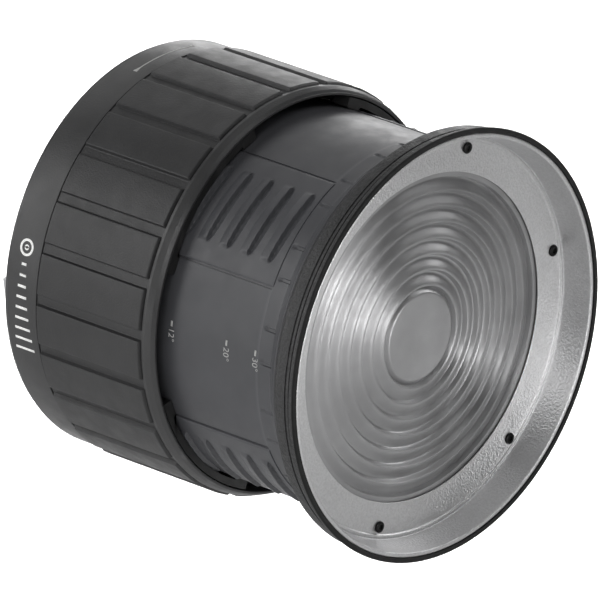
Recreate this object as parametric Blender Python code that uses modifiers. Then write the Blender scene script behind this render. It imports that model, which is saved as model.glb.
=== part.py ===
"""Two-lens fresnel spotlight attachment with a bayonet mount.

Every piece is built along a local Z axis that points forward through the
lenses, with z = 0 on the rear face of the bayonet ring.  The empty
"optical_axis" lays that axis down, so the lens faces world -Y and +Z is up.
"""

import math

import bmesh
import bpy
from mathutils import Matrix

MM = 0.001
GAP = 0.3
RING_SEGMENTS = 40
SMALL_SEGMENTS = 10
SECTOR_STEP_DEG = 6.5

# Driving dimensions, in millimetres along and around the optical axis.
RIM_Z = 205.0
RIM_RADIUS = 105.0
TRAVEL = 56.0
SLEEVE_TURN_DEG = 100.0

# Bayonet
MOUNT_THICKNESS = 4.0
MOUNT_RADIUS = 75.0
THROAT_RADIUS = 49.0
LUG_COUNT = 3
LUG_WIDTH_DEG = 24.0
LUG_FIRST_DEG = 196.5
LUG_LENGTH = 15.0
LUG_FOOT = 3.5
LUG_INNER_RADIUS = 64.5
LUG_WALL_RADIUS = 68.5
LUG_OUTER_RADIUS = 71.0
MOUNT_SCREW_CIRCLE = 58.0
MOUNT_SCREW_RADIUS = 2.0
MOUNT_SCREW_LENGTH = 10.0
MOUNT_HEAD_RADIUS = 3.8
MOUNT_HEAD_HEIGHT = 2.2
MOUNT_HOLE_RADIUS = 2.6
HOUSING_HOLE_RADIUS = 2.4

# Rear housing and the condenser lens in it
NECK_RADIUS = 78.0
PLATE_RADIUS = 94.0
PLATE_BACK_Z = 12.0
PLATE_FRONT_Z = 16.0
CELL_RADIUS = 54.0
CELL_BORE = 50.5
CELL_FRONT_Z = 38.0
REAR_SEAT_RADIUS = 44.5
REAR_LENS_RADIUS = 50.0
REAR_LENS_EDGE = 5.0
REAR_LENS_DOME = 11.0
REAR_LENS_STEPS = 5
RETAINER_INNER = 45.5
RETAINER_DEPTH = 4.0
RETAINER_RISE = 2.1
GASKET_THICKNESS = 1.2

# Guide tube, fixed to the housing
GUIDE_INNER = 92.3
GUIDE_OUTER = 94.0
GUIDE_FRONT_Z = 100.0
GUIDE_FLANGE_INNER = 80.0
GUIDE_FLANGE_THICKNESS = 2.0
GUIDE_SCREW_CIRCLE = 84.0
GUIDE_SCREW_RADIUS = 1.5
GUIDE_SCREW_LENGTH = 4.6
GUIDE_HEAD_RADIUS = 2.7
GUIDE_HEAD_HEIGHT = 1.6
GUIDE_HOLE_RADIUS = 1.9
GUIDE_SLOT_PLAY = 0.6
SLIDE_RING_INNER = 94.3
SLIDE_RING_OUTER = 96.0
SLIDE_RING_WIDTH = 5.0
SLIDE_RING_INSET = 0.5
NARROW_RING_WIDTH = 4.0

# Focus sleeve, turning round the guide tube
SLEEVE_FRONT_Z = 110.1
SLEEVE_BACK_Z = 13.7
SLEEVE_INNER = 96.5
SLEEVE_CHAMFER = 0.9
SLEEVE_MOUTH_OUTER = 98.3
SLEEVE_MOUTH_INNER = 97.1
BAND_CHAMFER = 2.4
BAND_CHAMFER_RADIUS = 98.9
BAND_RADIUS = 99.6
LIP_RADIUS = 99.0
GRIP_SEAT_RADIUS = 98.0
GRIP_INNER = 98.4
GRIP_BACK_Z = 35.0
GRIP_FRONT_Z = 103.2
GRIP_PADS = 25
GRIP_PAD_RADIUS = 100.9
GRIP_FLOOR_RADIUS = 99.3
GRIP_CHANNEL_DEG = 3.0
GRIP_FIRST_CHANNEL_DEG = 3.6

# Cam tube inside the sleeve, with the followers that run in it
CAM_INNER = 94.6
CAM_OUTER = 96.2
CAM_SLOT_PLAY = 0.7
FOLLOWER_Z = 85.0
FOLLOWER_COUNT = 3
FOLLOWER_FIRST_DEG = 28.0
PIN_RADIUS = 2.0
PIN_OUTER = 96.0
PIN_HEAD_RADIUS = 3.6
PIN_HEAD_OUTER = 86.4
PIN_HEAD_INNER = 84.6
ROLLER_RADIUS = 3.0
ROLLER_INNER = 90.5
ROLLER_OUTER = 95.8
CAM_SCREW_INSET = 3.4
CAM_SCREW_RADIUS = 1.45
CAM_HOLE_RADIUS = 1.8

# Lens barrel, sliding in the guide tube
BARREL_FRONT_Z = 168.7
BARREL_BACK_Z = 76.0
BARREL_INNER = 87.0
BARREL_OUTER = 90.0
BARREL_RING_OUTER = 92.0

# Louvre panels on the barrel, and the guide shoes that key onto them
PANEL_COUNT = 4
PANEL_FIRST_DEG = 43.0
PANEL_WIDTH_DEG = 37.0
PANEL_INNER = 90.4
PANEL_OUTER = 91.5
PANEL_BACK_Z = 98.0
LOUVRE_WIDTH_DEG = 25.0
LOUVRE_PITCH = 13.1
LOUVRE_FRONT_Z = 162.5
LOUVRE_COUNT = 5
LOUVRE_SLOT = 2.4
WINDOW_FRONT_Z = 164.5
WINDOW_BACK_Z = 106.2
SHOE_WIDTH_DEG = 50.0
SHOE_RELIEF_DEG = 38.6
SHOE_INNER = 90.4
SHOE_RELIEF_RADIUS = 92.6
SHOE_OUTER = 95.7
SHOE_FRONT_Z = 109.5

# Front collar, trim ring, lens and dish
COLLAR_FRONT_Z = 186.7
COLLAR_LIP_RADIUS = 98.0
COLLAR_NECK_RADIUS = 90.4
COLLAR_LIP_DEPTH = 1.7
COLLAR_FLARE_DEPTH = 9.7
SPIGOT_LENGTH = 5.0
SPIGOT_WALL = 2.5
SEAT_THICKNESS = 2.0
FRONT_GASKET = 1.7
SEAT_RADIUS = 79.5
LENS_BORE = 85.2
LENS_RADIUS = 84.6
LENS_FRONT_Z = 188.4
LENS_BACK_Z = 183.0
LENS_CENTRE_RADIUS = 23.4
LENS_RINGS = 7
LENS_RING_DEPTH = 2.2
LENS_RING_RISE = 0.6
LENS_RIM_WIDTH = 5.2
LENS_RIM_DROP = 0.1
LENS_CREST_DROP = 0.3
DISH_OPENING = 79.9
DISH_FLOOR_RADIUS = 97.6
DISH_EDGE_RADIUS = 101.6
DISH_FLOOR_Z = 189.5
DISH_SHEET = 0.6
DISH_SCREWS = 6
DISH_SCREW_CIRCLE = 91.5
DISH_SCREW_FIRST_DEG = 11.0
DISH_SCREW_RADIUS = 1.45
DISH_SCREW_LENGTH = 6.8
DISH_HEAD_RADIUS = 2.8
DISH_HEAD_HEIGHT = 0.9
DISH_HOLE_RADIUS = 1.8
DISH_EDGE_Z = 204.5
DISH_EDGE_HEIGHT = 1.0
DISH_EDGE_WIDTH = 0.7
TRIM_BAND_RADIUS = 102.9
TRIM_BACK_Z = 190.7
TRIM_INNER = 86.0
TRIM_EDGE = 0.8
TRIM_LIP_INNER = 102.3
TRIM_FOOT_INNER = 98.5
TRIM_GROOVE_RADIUS = 102.0
TRIM_GROOVE_FRONT = 3.9
TRIM_GROOVE_BACK = 5.1


def material(name, colour, roughness, metallic=0.0, transmission=0.0):
    """Make a material with one Principled BSDF."""
    made = bpy.data.materials.new(name)
    made.use_nodes = True
    shader = made.node_tree.nodes["Principled BSDF"]
    shader.inputs["Base Color"].default_value = (*colour, 1.0)
    shader.inputs["Roughness"].default_value = roughness
    shader.inputs["Metallic"].default_value = metallic
    shader.inputs["Transmission Weight"].default_value = transmission
    made.diffuse_color = (*colour, 1.0)
    return made


def start_scene():
    """Clear the file and make the collections and the axis empty."""
    for item in list(bpy.data.objects):
        bpy.data.objects.remove(item, do_unlink=True)
    parts = bpy.data.collections.new("fresnel_spotlight")
    cutters = bpy.data.collections.new("cutters")
    bpy.context.scene.collection.children.link(parts)
    bpy.context.scene.collection.children.link(cutters)
    axis = bpy.data.objects.new("optical_axis", None)
    axis.rotation_euler = (math.radians(90.0), 0.0, 0.0)
    parts.objects.link(axis)
    return parts, cutters, axis


def add_object(name, mesh, finish):
    """Put a mesh on the optical axis as one named part."""
    made = bpy.data.objects.new(name, mesh)
    made.parent = AXIS
    PARTS.objects.link(made)
    mesh.materials.append(finish)
    return made


def add_cutter(name, mesh):
    """Put a mesh in the cutters collection, out of the render."""
    made = bpy.data.objects.new(name, mesh)
    made.parent = AXIS
    made.hide_render = True
    made.display_type = "WIRE"
    CUTTERS.objects.link(made)
    return made


def shade(part, sharp_deg=30.0):
    """Shade a round piece smooth, with its real edges kept sharp."""
    part.data.shade_smooth()
    part.data.set_sharp_from_angle(angle=math.radians(sharp_deg))
    for change in part.modifiers:
        if change.type == "SCREW":
            change.use_smooth_shade = True


def mesh_from(bm, name):
    """Turn a bmesh into a mesh with its faces pointing out."""
    bmesh.ops.recalc_face_normals(bm, faces=bm.faces[:])
    mesh = bpy.data.meshes.new(name)
    bm.to_mesh(mesh)
    bm.free()
    return mesh


def profile_mesh(name, profile):
    """A turned outline as a mesh of edges, from (radius, z) points."""
    mesh = bpy.data.meshes.new(name)
    points = [(radius * MM, 0.0, z * MM) for radius, z in profile]
    count = len(points)
    closed = profile[0][0] > 0.0
    edges = [(i, (i + 1) % count) for i in range(count if closed else count - 1)]
    mesh.from_pydata(points, edges, [])
    return mesh


def turned(name, profile, finish, segments=RING_SEGMENTS, frame=None):
    """A turned piece: an outline that runs down its outer side, and a Screw."""
    made = add_object(name, profile_mesh(name, profile), finish)
    if frame is not None:
        made.matrix_local = frame
    screw = made.modifiers.new("Turn", "SCREW")
    screw.axis = "Z"
    screw.angle = math.tau
    screw.steps = segments
    screw.render_steps = segments
    screw.use_merge_vertices = True
    screw.merge_threshold = 0.00001
    return made


def ring_profile(inner, outer, back, front):
    """Outline of a plain ring, down its outer side."""
    return [(outer, front), (outer, back), (inner, back), (inner, front)]


def swept_mesh(name, section, centre_deg, width_deg, rise=0.0):
    """A section of (radius, z) points swept round the axis, helical with a rise."""
    steps = max(1, math.ceil(width_deg / SECTOR_STEP_DEG))
    bm = bmesh.new()
    verts = [bm.verts.new((radius * MM, 0.0, z * MM)) for radius, z in section]
    face = bm.faces.new(verts)
    bmesh.ops.spin(
        bm,
        geom=[face] + verts + list(face.edges),
        cent=(0.0, 0.0, 0.0),
        axis=(0.0, 0.0, 1.0),
        dvec=(0.0, 0.0, rise * MM / steps),
        angle=math.radians(width_deg),
        steps=steps,
    )
    start = Matrix.Rotation(math.radians(centre_deg - width_deg / 2.0), 4, "Z")
    bmesh.ops.transform(bm, matrix=start, verts=bm.verts[:])
    return mesh_from(bm, name)


def sector_mesh(name, inner, outer, back, front, centre_deg, width_deg):
    """A plain ring sector."""
    section = [(inner, back), (outer, back), (outer, front), (inner, front)]
    return swept_mesh(name, section, centre_deg, width_deg)


def sector(name, inner, outer, back, front, centre_deg, width_deg, finish):
    """A ring sector as a part."""
    mesh = sector_mesh(name, inner, outer, back, front, centre_deg, width_deg)
    return add_object(name, mesh, finish)


def cut(target, cutter, operation="DIFFERENCE"):
    """Apply a cutter to a part with an exact Boolean."""
    change = target.modifiers.new(operation.title() + " " + cutter.name, "BOOLEAN")
    change.operation = operation
    change.solver = "EXACT"
    change.object = cutter
    return change


def joined_cutter(name, meshes):
    """One cutter made of several separate closed meshes."""
    bm = bmesh.new()
    for mesh in meshes:
        bm.from_mesh(mesh)
        bpy.data.meshes.remove(mesh)
    mesh = bpy.data.meshes.new(name)
    bm.to_mesh(mesh)
    bm.free()
    return add_cutter(name, mesh)


def rod_mesh(name, radius, length, frame, segments=SMALL_SEGMENTS):
    """A cylinder of a given length, standing on the frame's XY plane."""
    bm = bmesh.new()
    bmesh.ops.create_cone(
        bm,
        cap_ends=True,
        segments=segments,
        radius1=radius * MM,
        radius2=radius * MM,
        depth=length * MM,
        matrix=frame @ Matrix.Translation((0.0, 0.0, length * MM / 2.0)),
    )
    return mesh_from(bm, name)


def along_axis(radius, angle_deg, z):
    """Frame on a circle round the axis, with its Z forward."""
    turn = Matrix.Rotation(math.radians(angle_deg), 4, "Z")
    return turn @ Matrix.Translation((radius * MM, 0.0, z * MM))


def outward(radius, angle_deg, z):
    """Frame on a circle round the axis, with its Z pointing outward."""
    tilt = Matrix.Rotation(math.radians(90.0), 4, "Y")
    return along_axis(radius, angle_deg, z) @ tilt


def screw_part(name, frame, head_radius, head_height, shank_radius, shank_length, finish):
    """A screw: its head stands on the frame and its shank goes below."""
    outline = [
        (0.0, head_height),
        (head_radius, head_height),
        (head_radius, 0.0),
        (shank_radius, 0.0),
        (shank_radius, -shank_length),
        (0.0, -shank_length),
    ]
    return turned(name, outline, finish, SMALL_SEGMENTS, frame)


def angles(first_deg, count):
    """Evenly spaced angles round the axis."""
    return [first_deg + 360.0 * i / count for i in range(count)]


def make_mount_ring():
    """The bayonet ring: a flat ring with three hooked lugs behind it."""
    outline = ring_profile(THROAT_RADIUS, MOUNT_RADIUS, 0.0, MOUNT_THICKNESS)
    ring = turned("mount_ring", outline, STEEL)
    hook = [
        (LUG_INNER_RADIUS, MOUNT_THICKNESS / 2.0),
        (LUG_WALL_RADIUS, MOUNT_THICKNESS / 2.0),
        (LUG_WALL_RADIUS, LUG_FOOT - LUG_LENGTH),
        (LUG_OUTER_RADIUS, LUG_FOOT - LUG_LENGTH),
        (LUG_OUTER_RADIUS, -LUG_LENGTH),
        (LUG_INNER_RADIUS, -LUG_LENGTH),
    ]
    for number, angle in enumerate(angles(LUG_FIRST_DEG, LUG_COUNT), start=1):
        lug = swept_mesh(f"lug_{number}", hook, angle, LUG_WIDTH_DEG)
        cut(ring, add_cutter(lug.name, lug), "UNION")
    holes = [
        rod_mesh(
            "hole", MOUNT_HOLE_RADIUS, 2.0 * MOUNT_THICKNESS,
            along_axis(MOUNT_SCREW_CIRCLE, angle, -MOUNT_THICKNESS / 2.0),
        )
        for angle in angles(LUG_FIRST_DEG + 60.0, LUG_COUNT)
    ]
    cut(ring, joined_cutter("mount_screw_holes", holes))


def make_mount_screws():
    """Three screws that hold the bayonet ring to the housing."""
    for number, angle in enumerate(angles(LUG_FIRST_DEG + 60.0, LUG_COUNT), start=1):
        seat = along_axis(MOUNT_SCREW_CIRCLE, angle, -GAP)
        facing_back = seat @ Matrix.Rotation(math.pi, 4, "X")
        screw_part(
            f"mount_screw_{number}", facing_back, MOUNT_HEAD_RADIUS, MOUNT_HEAD_HEIGHT,
            MOUNT_SCREW_RADIUS, MOUNT_SCREW_LENGTH, STEEL,
        )


def make_rear_housing():
    """The rear casting: neck, back plate and the cell of the rear lens."""
    neck_back = MOUNT_THICKNESS + GAP
    outline = [
        (CELL_RADIUS, CELL_FRONT_Z),
        (CELL_RADIUS, PLATE_FRONT_Z),
        (PLATE_RADIUS, PLATE_FRONT_Z),
        (PLATE_RADIUS, PLATE_BACK_Z),
        (NECK_RADIUS, PLATE_BACK_Z),
        (NECK_RADIUS, neck_back),
        (REAR_SEAT_RADIUS, neck_back),
        (REAR_SEAT_RADIUS, PLATE_FRONT_Z - 1.0),
        (CELL_BORE, PLATE_FRONT_Z - 1.0),
        (CELL_BORE, CELL_FRONT_Z),
    ]
    housing = turned("rear_housing", outline, HOUSING_BLACK)
    holes = [
        rod_mesh(
            "hole", HOUSING_HOLE_RADIUS, MOUNT_SCREW_LENGTH - 1.0,
            along_axis(MOUNT_SCREW_CIRCLE, angle, neck_back - 1.0),
        )
        for angle in angles(LUG_FIRST_DEG + 60.0, LUG_COUNT)
    ]
    holes += [
        rod_mesh(
            "hole", GUIDE_HOLE_RADIUS, 6.0,
            along_axis(GUIDE_SCREW_CIRCLE, angle, PLATE_BACK_Z + 0.6),
        )
        for angle in angles(FOLLOWER_FIRST_DEG + 60.0, FOLLOWER_COUNT)
    ]
    cut(housing, joined_cutter("housing_screw_holes", holes))


def make_rear_lens():
    """The condenser lens, its gasket and its threaded retainer."""
    seat_z = PLATE_FRONT_Z - 1.0
    gasket_front = seat_z + GAP + GASKET_THICKNESS
    turned(
        "rear_lens_gasket",
        ring_profile(REAR_SEAT_RADIUS + 0.5, REAR_LENS_RADIUS, seat_z + GAP, gasket_front),
        SILICONE,
    )
    flat_z = gasket_front + GAP
    edge_z = flat_z + REAR_LENS_EDGE
    dome = []
    for i in range(REAR_LENS_STEPS + 1):
        radius = REAR_LENS_RADIUS * i / REAR_LENS_STEPS
        dome.append((radius, edge_z + REAR_LENS_DOME * (1.0 - (radius / REAR_LENS_RADIUS) ** 2)))
    turned("rear_lens", dome + [(REAR_LENS_RADIUS, flat_z), (0.0, flat_z)], GLASS)
    ring_back = edge_z + RETAINER_RISE + GAP
    turned(
        "rear_lens_retainer",
        ring_profile(RETAINER_INNER, CELL_BORE - 0.4, ring_back, ring_back + RETAINER_DEPTH),
        DARK_ALUMINIUM,
    )


def make_guide_tube():
    """The fixed tube that carries the barrel, with three straight slots."""
    flange_back = PLATE_FRONT_Z + GAP
    flange_front = flange_back + GUIDE_FLANGE_THICKNESS
    outline = [
        (GUIDE_OUTER, GUIDE_FRONT_Z),
        (GUIDE_OUTER, flange_back),
        (GUIDE_FLANGE_INNER, flange_back),
        (GUIDE_FLANGE_INNER, flange_front),
        (GUIDE_INNER, flange_front),
        (GUIDE_INNER, GUIDE_FRONT_Z),
    ]
    tube = turned("guide_tube", outline, DARK_ALUMINIUM)
    half_slot = ROLLER_RADIUS + GUIDE_SLOT_PLAY
    slot_deg = math.degrees(2.0 * half_slot / GUIDE_OUTER)
    slots = [
        sector_mesh(
            "slot", GUIDE_INNER - 3.0, GUIDE_OUTER + 3.0,
            FOLLOWER_Z - TRAVEL - half_slot, FOLLOWER_Z + half_slot, angle, slot_deg,
        )
        for angle in angles(FOLLOWER_FIRST_DEG, FOLLOWER_COUNT)
    ]
    slots += [
        rod_mesh(
            "hole", GUIDE_HOLE_RADIUS, 6.0,
            along_axis(GUIDE_SCREW_CIRCLE, angle, flange_back - 2.0),
        )
        for angle in angles(FOLLOWER_FIRST_DEG + 60.0, FOLLOWER_COUNT)
    ]
    cut(tube, joined_cutter("guide_slots", slots))
    for number, angle in enumerate(angles(FOLLOWER_FIRST_DEG + 60.0, FOLLOWER_COUNT), start=1):
        seat = along_axis(GUIDE_SCREW_CIRCLE, angle, flange_front + GAP)
        screw_part(
            f"guide_screw_{number}", seat, GUIDE_HEAD_RADIUS, GUIDE_HEAD_HEIGHT,
            GUIDE_SCREW_RADIUS, GUIDE_SCREW_LENGTH, STEEL,
        )


def make_slide_rings():
    """Low-friction rings that the sleeve turns on, and the barrel slides on."""
    back = PLATE_FRONT_Z + GAP
    turned(
        "rear_slide_ring",
        ring_profile(SLIDE_RING_INNER, SLIDE_RING_OUTER, back, back + NARROW_RING_WIDTH),
        ACETAL,
    )
    front = GUIDE_FRONT_Z - SLIDE_RING_INSET
    turned(
        "front_slide_ring",
        ring_profile(SLIDE_RING_INNER, SLIDE_RING_OUTER, front - SLIDE_RING_WIDTH, front),
        ACETAL_BLACK,
    )
    back = BARREL_BACK_Z + SLIDE_RING_INSET
    turned(
        "barrel_slide_ring",
        ring_profile(BARREL_OUTER + GAP, BARREL_RING_OUTER, back, back + NARROW_RING_WIDTH),
        ACETAL,
    )


def make_guide_shoes():
    """Four shoes in the sleeve's mouth that key onto the louvre panels."""
    for number, angle in enumerate(angles(PANEL_FIRST_DEG, PANEL_COUNT), start=1):
        back = GUIDE_FRONT_Z + GAP
        shoe = sector(
            f"guide_shoe_{number}", SHOE_INNER, SHOE_OUTER, back, SHOE_FRONT_Z,
            angle, SHOE_WIDTH_DEG, ACETAL_BLACK,
        )
        relief = sector_mesh(
            f"shoe_relief_{number}", SHOE_INNER - 4.0, SHOE_RELIEF_RADIUS,
            back - 2.0, SHOE_FRONT_Z + 2.0, angle, SHOE_RELIEF_DEG,
        )
        cut(shoe, add_cutter(relief.name, relief))


def make_focus_sleeve():
    """The turning outer sleeve, with a seat for the rubber grip."""
    outline = [
        (SLEEVE_MOUTH_OUTER, SLEEVE_FRONT_Z),
        (LIP_RADIUS, SLEEVE_FRONT_Z - SLEEVE_CHAMFER),
        (LIP_RADIUS, GRIP_FRONT_Z),
        (GRIP_SEAT_RADIUS, GRIP_FRONT_Z),
        (GRIP_SEAT_RADIUS, GRIP_BACK_Z),
        (BAND_RADIUS, GRIP_BACK_Z),
        (BAND_RADIUS, SLEEVE_BACK_Z + BAND_CHAMFER),
        (BAND_CHAMFER_RADIUS, SLEEVE_BACK_Z),
        (SLEEVE_INNER, SLEEVE_BACK_Z),
        (SLEEVE_INNER, SLEEVE_FRONT_Z - SLEEVE_CHAMFER),
        (SLEEVE_MOUTH_INNER, SLEEVE_FRONT_Z),
    ]
    turned("focus_sleeve", outline, SLEEVE_BLACK)


def grip_outline():
    """Points round the grip: raised pads between narrow channels."""
    pitch = 360.0 / GRIP_PADS
    half_channel = GRIP_CHANNEL_DEG / 2.0
    points = []
    for centre in angles(GRIP_FIRST_CHANNEL_DEG, GRIP_PADS):
        points.append((GRIP_FLOOR_RADIUS, centre - half_channel))
        points.append((GRIP_FLOOR_RADIUS, centre + half_channel))
        points.append((GRIP_PAD_RADIUS, centre + half_channel))
        points.append((GRIP_PAD_RADIUS, centre + pitch / 2.0))
        points.append((GRIP_PAD_RADIUS, centre + pitch - half_channel))
    return points


def make_focus_grip():
    """The rubber grip round the sleeve: an outline extruded along the axis."""
    back = GRIP_BACK_Z + GAP
    front = GRIP_FRONT_Z - GAP
    curve = bpy.data.curves.new("focus_grip_outline", "CURVE")
    curve.dimensions = "2D"
    curve.fill_mode = "BOTH"
    curve.extrude = (front - back) / 2.0 * MM
    inner = [(GRIP_INNER, angle) for angle in angles(0.0, RING_SEGMENTS)]
    for points in (grip_outline(), inner):
        spline = curve.splines.new("POLY")
        spline.points.add(len(points) - 1)
        spline.use_cyclic_u = True
        for point, (radius, angle) in zip(spline.points, points):
            turn = math.radians(angle)
            x = radius * math.cos(turn) * MM
            y = radius * math.sin(turn) * MM
            point.co = (x, y, 0.0, 1.0)
    outline = bpy.data.objects.new("focus_grip_outline", curve)
    CUTTERS.objects.link(outline)
    bpy.context.view_layer.update()
    solid = bpy.data.meshes.new_from_object(
        outline.evaluated_get(bpy.context.evaluated_depsgraph_get())
    )
    bpy.data.objects.remove(outline, do_unlink=True)
    bm = bmesh.new()
    bm.from_mesh(solid)
    bpy.data.meshes.remove(solid)
    bmesh.ops.remove_doubles(bm, verts=bm.verts[:], dist=0.00001)
    middle = Matrix.Translation((0.0, 0.0, (front + back) / 2.0 * MM))
    bmesh.ops.transform(bm, matrix=middle, verts=bm.verts[:])
    add_object("focus_grip", mesh_from(bm, "focus_grip"), RUBBER)


def make_cam_tube():
    """The tube fixed in the sleeve, with three helical slots and its screws."""
    back = PLATE_FRONT_Z + GAP + NARROW_RING_WIDTH + GAP
    front = GUIDE_FRONT_Z - SLIDE_RING_INSET - SLIDE_RING_WIDTH - GAP
    tube = turned("cam_tube", ring_profile(CAM_INNER, CAM_OUTER, back, front), DARK_ALUMINIUM)
    half_slot = ROLLER_RADIUS + CAM_SLOT_PLAY
    overrun = math.degrees(half_slot / CAM_OUTER)
    turn_deg = SLEEVE_TURN_DEG + 2.0 * overrun
    rise = TRAVEL * turn_deg / SLEEVE_TURN_DEG
    start_z = FOLLOWER_Z - TRAVEL - TRAVEL * overrun / SLEEVE_TURN_DEG
    section = [
        (CAM_INNER - 3.0, start_z - half_slot),
        (CAM_OUTER + 3.0, start_z - half_slot),
        (CAM_OUTER + 3.0, start_z + half_slot),
        (CAM_INNER - 3.0, start_z + half_slot),
    ]
    slots = [
        swept_mesh("helix", section, angle - SLEEVE_TURN_DEG / 2.0, turn_deg, rise)
        for angle in angles(FOLLOWER_FIRST_DEG, FOLLOWER_COUNT)
    ]
    cut(tube, joined_cutter("cam_slots", slots))
    screw_z = front - CAM_SCREW_INSET
    holes = [
        rod_mesh("hole", CAM_HOLE_RADIUS, 8.0, outward(CAM_INNER - 3.0, angle, screw_z))
        for angle in angles(FOLLOWER_FIRST_DEG + 60.0, FOLLOWER_COUNT)
    ]
    cut(tube, joined_cutter("cam_screw_holes", holes))
    sleeve = bpy.data.objects["focus_sleeve"]
    cut(sleeve, bpy.data.objects["cam_screw_holes"])
    for number, angle in enumerate(angles(FOLLOWER_FIRST_DEG + 60.0, FOLLOWER_COUNT), start=1):
        length = GRIP_SEAT_RADIUS - CAM_INNER - GAP
        frame = outward(CAM_INNER + 0.1, angle, screw_z)
        mesh = rod_mesh("cam_screw", CAM_SCREW_RADIUS, length, frame)
        add_object(f"cam_screw_{number}", mesh, STEEL)


def make_followers():
    """Three pins on the barrel, each with a roller that runs in both slots."""
    for number, angle in enumerate(angles(FOLLOWER_FIRST_DEG, FOLLOWER_COUNT), start=1):
        pin_outline = [
            (0.0, PIN_OUTER),
            (PIN_RADIUS, PIN_OUTER),
            (PIN_RADIUS, PIN_HEAD_OUTER),
            (PIN_HEAD_RADIUS, PIN_HEAD_OUTER),
            (PIN_HEAD_RADIUS, PIN_HEAD_INNER),
            (0.0, PIN_HEAD_INNER),
        ]
        frame = outward(0.0, angle, FOLLOWER_Z)
        turned(f"follower_pin_{number}", pin_outline, STEEL, SMALL_SEGMENTS, frame)
        roller = ring_profile(PIN_RADIUS + GAP, ROLLER_RADIUS, ROLLER_INNER, ROLLER_OUTER)
        turned(f"follower_roller_{number}", roller, BRASS, SMALL_SEGMENTS, frame)


def make_lens_barrel():
    """The sliding tube, with windows behind the panels and the pin holes."""
    barrel = turned(
        "lens_barrel",
        ring_profile(BARREL_INNER, BARREL_OUTER, BARREL_BACK_Z, BARREL_FRONT_Z),
        BARREL_GREY,
    )
    cuts = [
        sector_mesh(
            "window", BARREL_INNER - 3.0, BARREL_OUTER + 3.0,
            WINDOW_BACK_Z, WINDOW_FRONT_Z, angle, LOUVRE_WIDTH_DEG,
        )
        for angle in angles(PANEL_FIRST_DEG, PANEL_COUNT)
    ]
    cuts += [
        rod_mesh("hole", PIN_RADIUS + GAP, 8.0, outward(BARREL_INNER - 3.0, angle, FOLLOWER_Z))
        for angle in angles(FOLLOWER_FIRST_DEG, FOLLOWER_COUNT)
    ]
    cut(barrel, joined_cutter("barrel_cuts", cuts))


def make_louvre_panels():
    """Four raised vent panels with cross slots."""
    for number, angle in enumerate(angles(PANEL_FIRST_DEG, PANEL_COUNT), start=1):
        panel = sector(
            f"louvre_panel_{number}", PANEL_INNER, PANEL_OUTER, PANEL_BACK_Z, BARREL_FRONT_Z,
            angle, PANEL_WIDTH_DEG, BARREL_GREY,
        )
        slots = []
        for row in range(LOUVRE_COUNT):
            slot_z = LOUVRE_FRONT_Z - row * LOUVRE_PITCH
            slots.append(
                sector_mesh(
                    "slot", PANEL_INNER - 2.0, PANEL_OUTER + 2.0, slot_z - LOUVRE_SLOT / 2.0,
                    slot_z + LOUVRE_SLOT / 2.0, angle, LOUVRE_WIDTH_DEG,
                )
            )
        cut(panel, joined_cutter(f"louvre_slots_{number}", slots))


def make_front_collar():
    """The flared collar on the barrel's front, with the lens seat inside."""
    neck_back = BARREL_FRONT_Z + GAP
    seat_front = LENS_BACK_Z - GAP - FRONT_GASKET - GAP
    seat_back = seat_front - SEAT_THICKNESS
    spigot_outer = BARREL_INNER - GAP
    spigot_inner = spigot_outer - SPIGOT_WALL
    outline = [
        (COLLAR_LIP_RADIUS, COLLAR_FRONT_Z),
        (COLLAR_LIP_RADIUS, COLLAR_FRONT_Z - COLLAR_LIP_DEPTH),
        (COLLAR_NECK_RADIUS, COLLAR_FRONT_Z - COLLAR_FLARE_DEPTH),
        (COLLAR_NECK_RADIUS, neck_back),
        (spigot_outer, neck_back),
        (spigot_outer, neck_back - SPIGOT_LENGTH),
        (spigot_inner, neck_back - SPIGOT_LENGTH),
        (spigot_inner, seat_back),
        (SEAT_RADIUS, seat_back),
        (SEAT_RADIUS, seat_front),
        (LENS_BORE, seat_front),
        (LENS_BORE, COLLAR_FRONT_Z),
    ]
    collar = turned("front_collar", outline, BARREL_GREY)
    holes = [
        rod_mesh(
            "hole", DISH_HOLE_RADIUS, 9.0,
            along_axis(DISH_SCREW_CIRCLE, angle, COLLAR_FRONT_Z - 4.5),
        )
        for angle in angles(DISH_SCREW_FIRST_DEG, DISH_SCREWS)
    ]
    cut(collar, joined_cutter("collar_screw_holes", holes))
    turned(
        "front_lens_gasket",
        ring_profile(SEAT_RADIUS + 1.0, LENS_RADIUS, seat_front + GAP, LENS_BACK_Z - GAP),
        SILICONE,
    )


def make_fresnel_lens():
    """The front lens: a domed centre with saw-tooth rings round it."""
    outline = [
        (0.0, LENS_FRONT_Z),
        (LENS_CENTRE_RADIUS * 0.6, LENS_FRONT_Z - LENS_RING_RISE),
        (LENS_CENTRE_RADIUS, LENS_FRONT_Z - LENS_RING_DEPTH),
    ]
    rim = LENS_RADIUS - LENS_RIM_WIDTH
    pitch = (rim - LENS_CENTRE_RADIUS) / LENS_RINGS
    for ring in range(LENS_RINGS):
        inner = LENS_CENTRE_RADIUS + ring * pitch
        outline.append((inner + LENS_RING_RISE, LENS_FRONT_Z - LENS_CREST_DROP))
        outline.append((inner + pitch, LENS_FRONT_Z - LENS_RING_DEPTH))
    outline.append((rim + LENS_RING_RISE, LENS_FRONT_Z - LENS_RIM_DROP))
    outline.append((LENS_RADIUS, LENS_FRONT_Z - LENS_RIM_DROP))
    outline.append((LENS_RADIUS, LENS_BACK_Z))
    outline.append((0.0, LENS_BACK_Z))
    turned("fresnel_lens", outline, GLASS)


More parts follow.
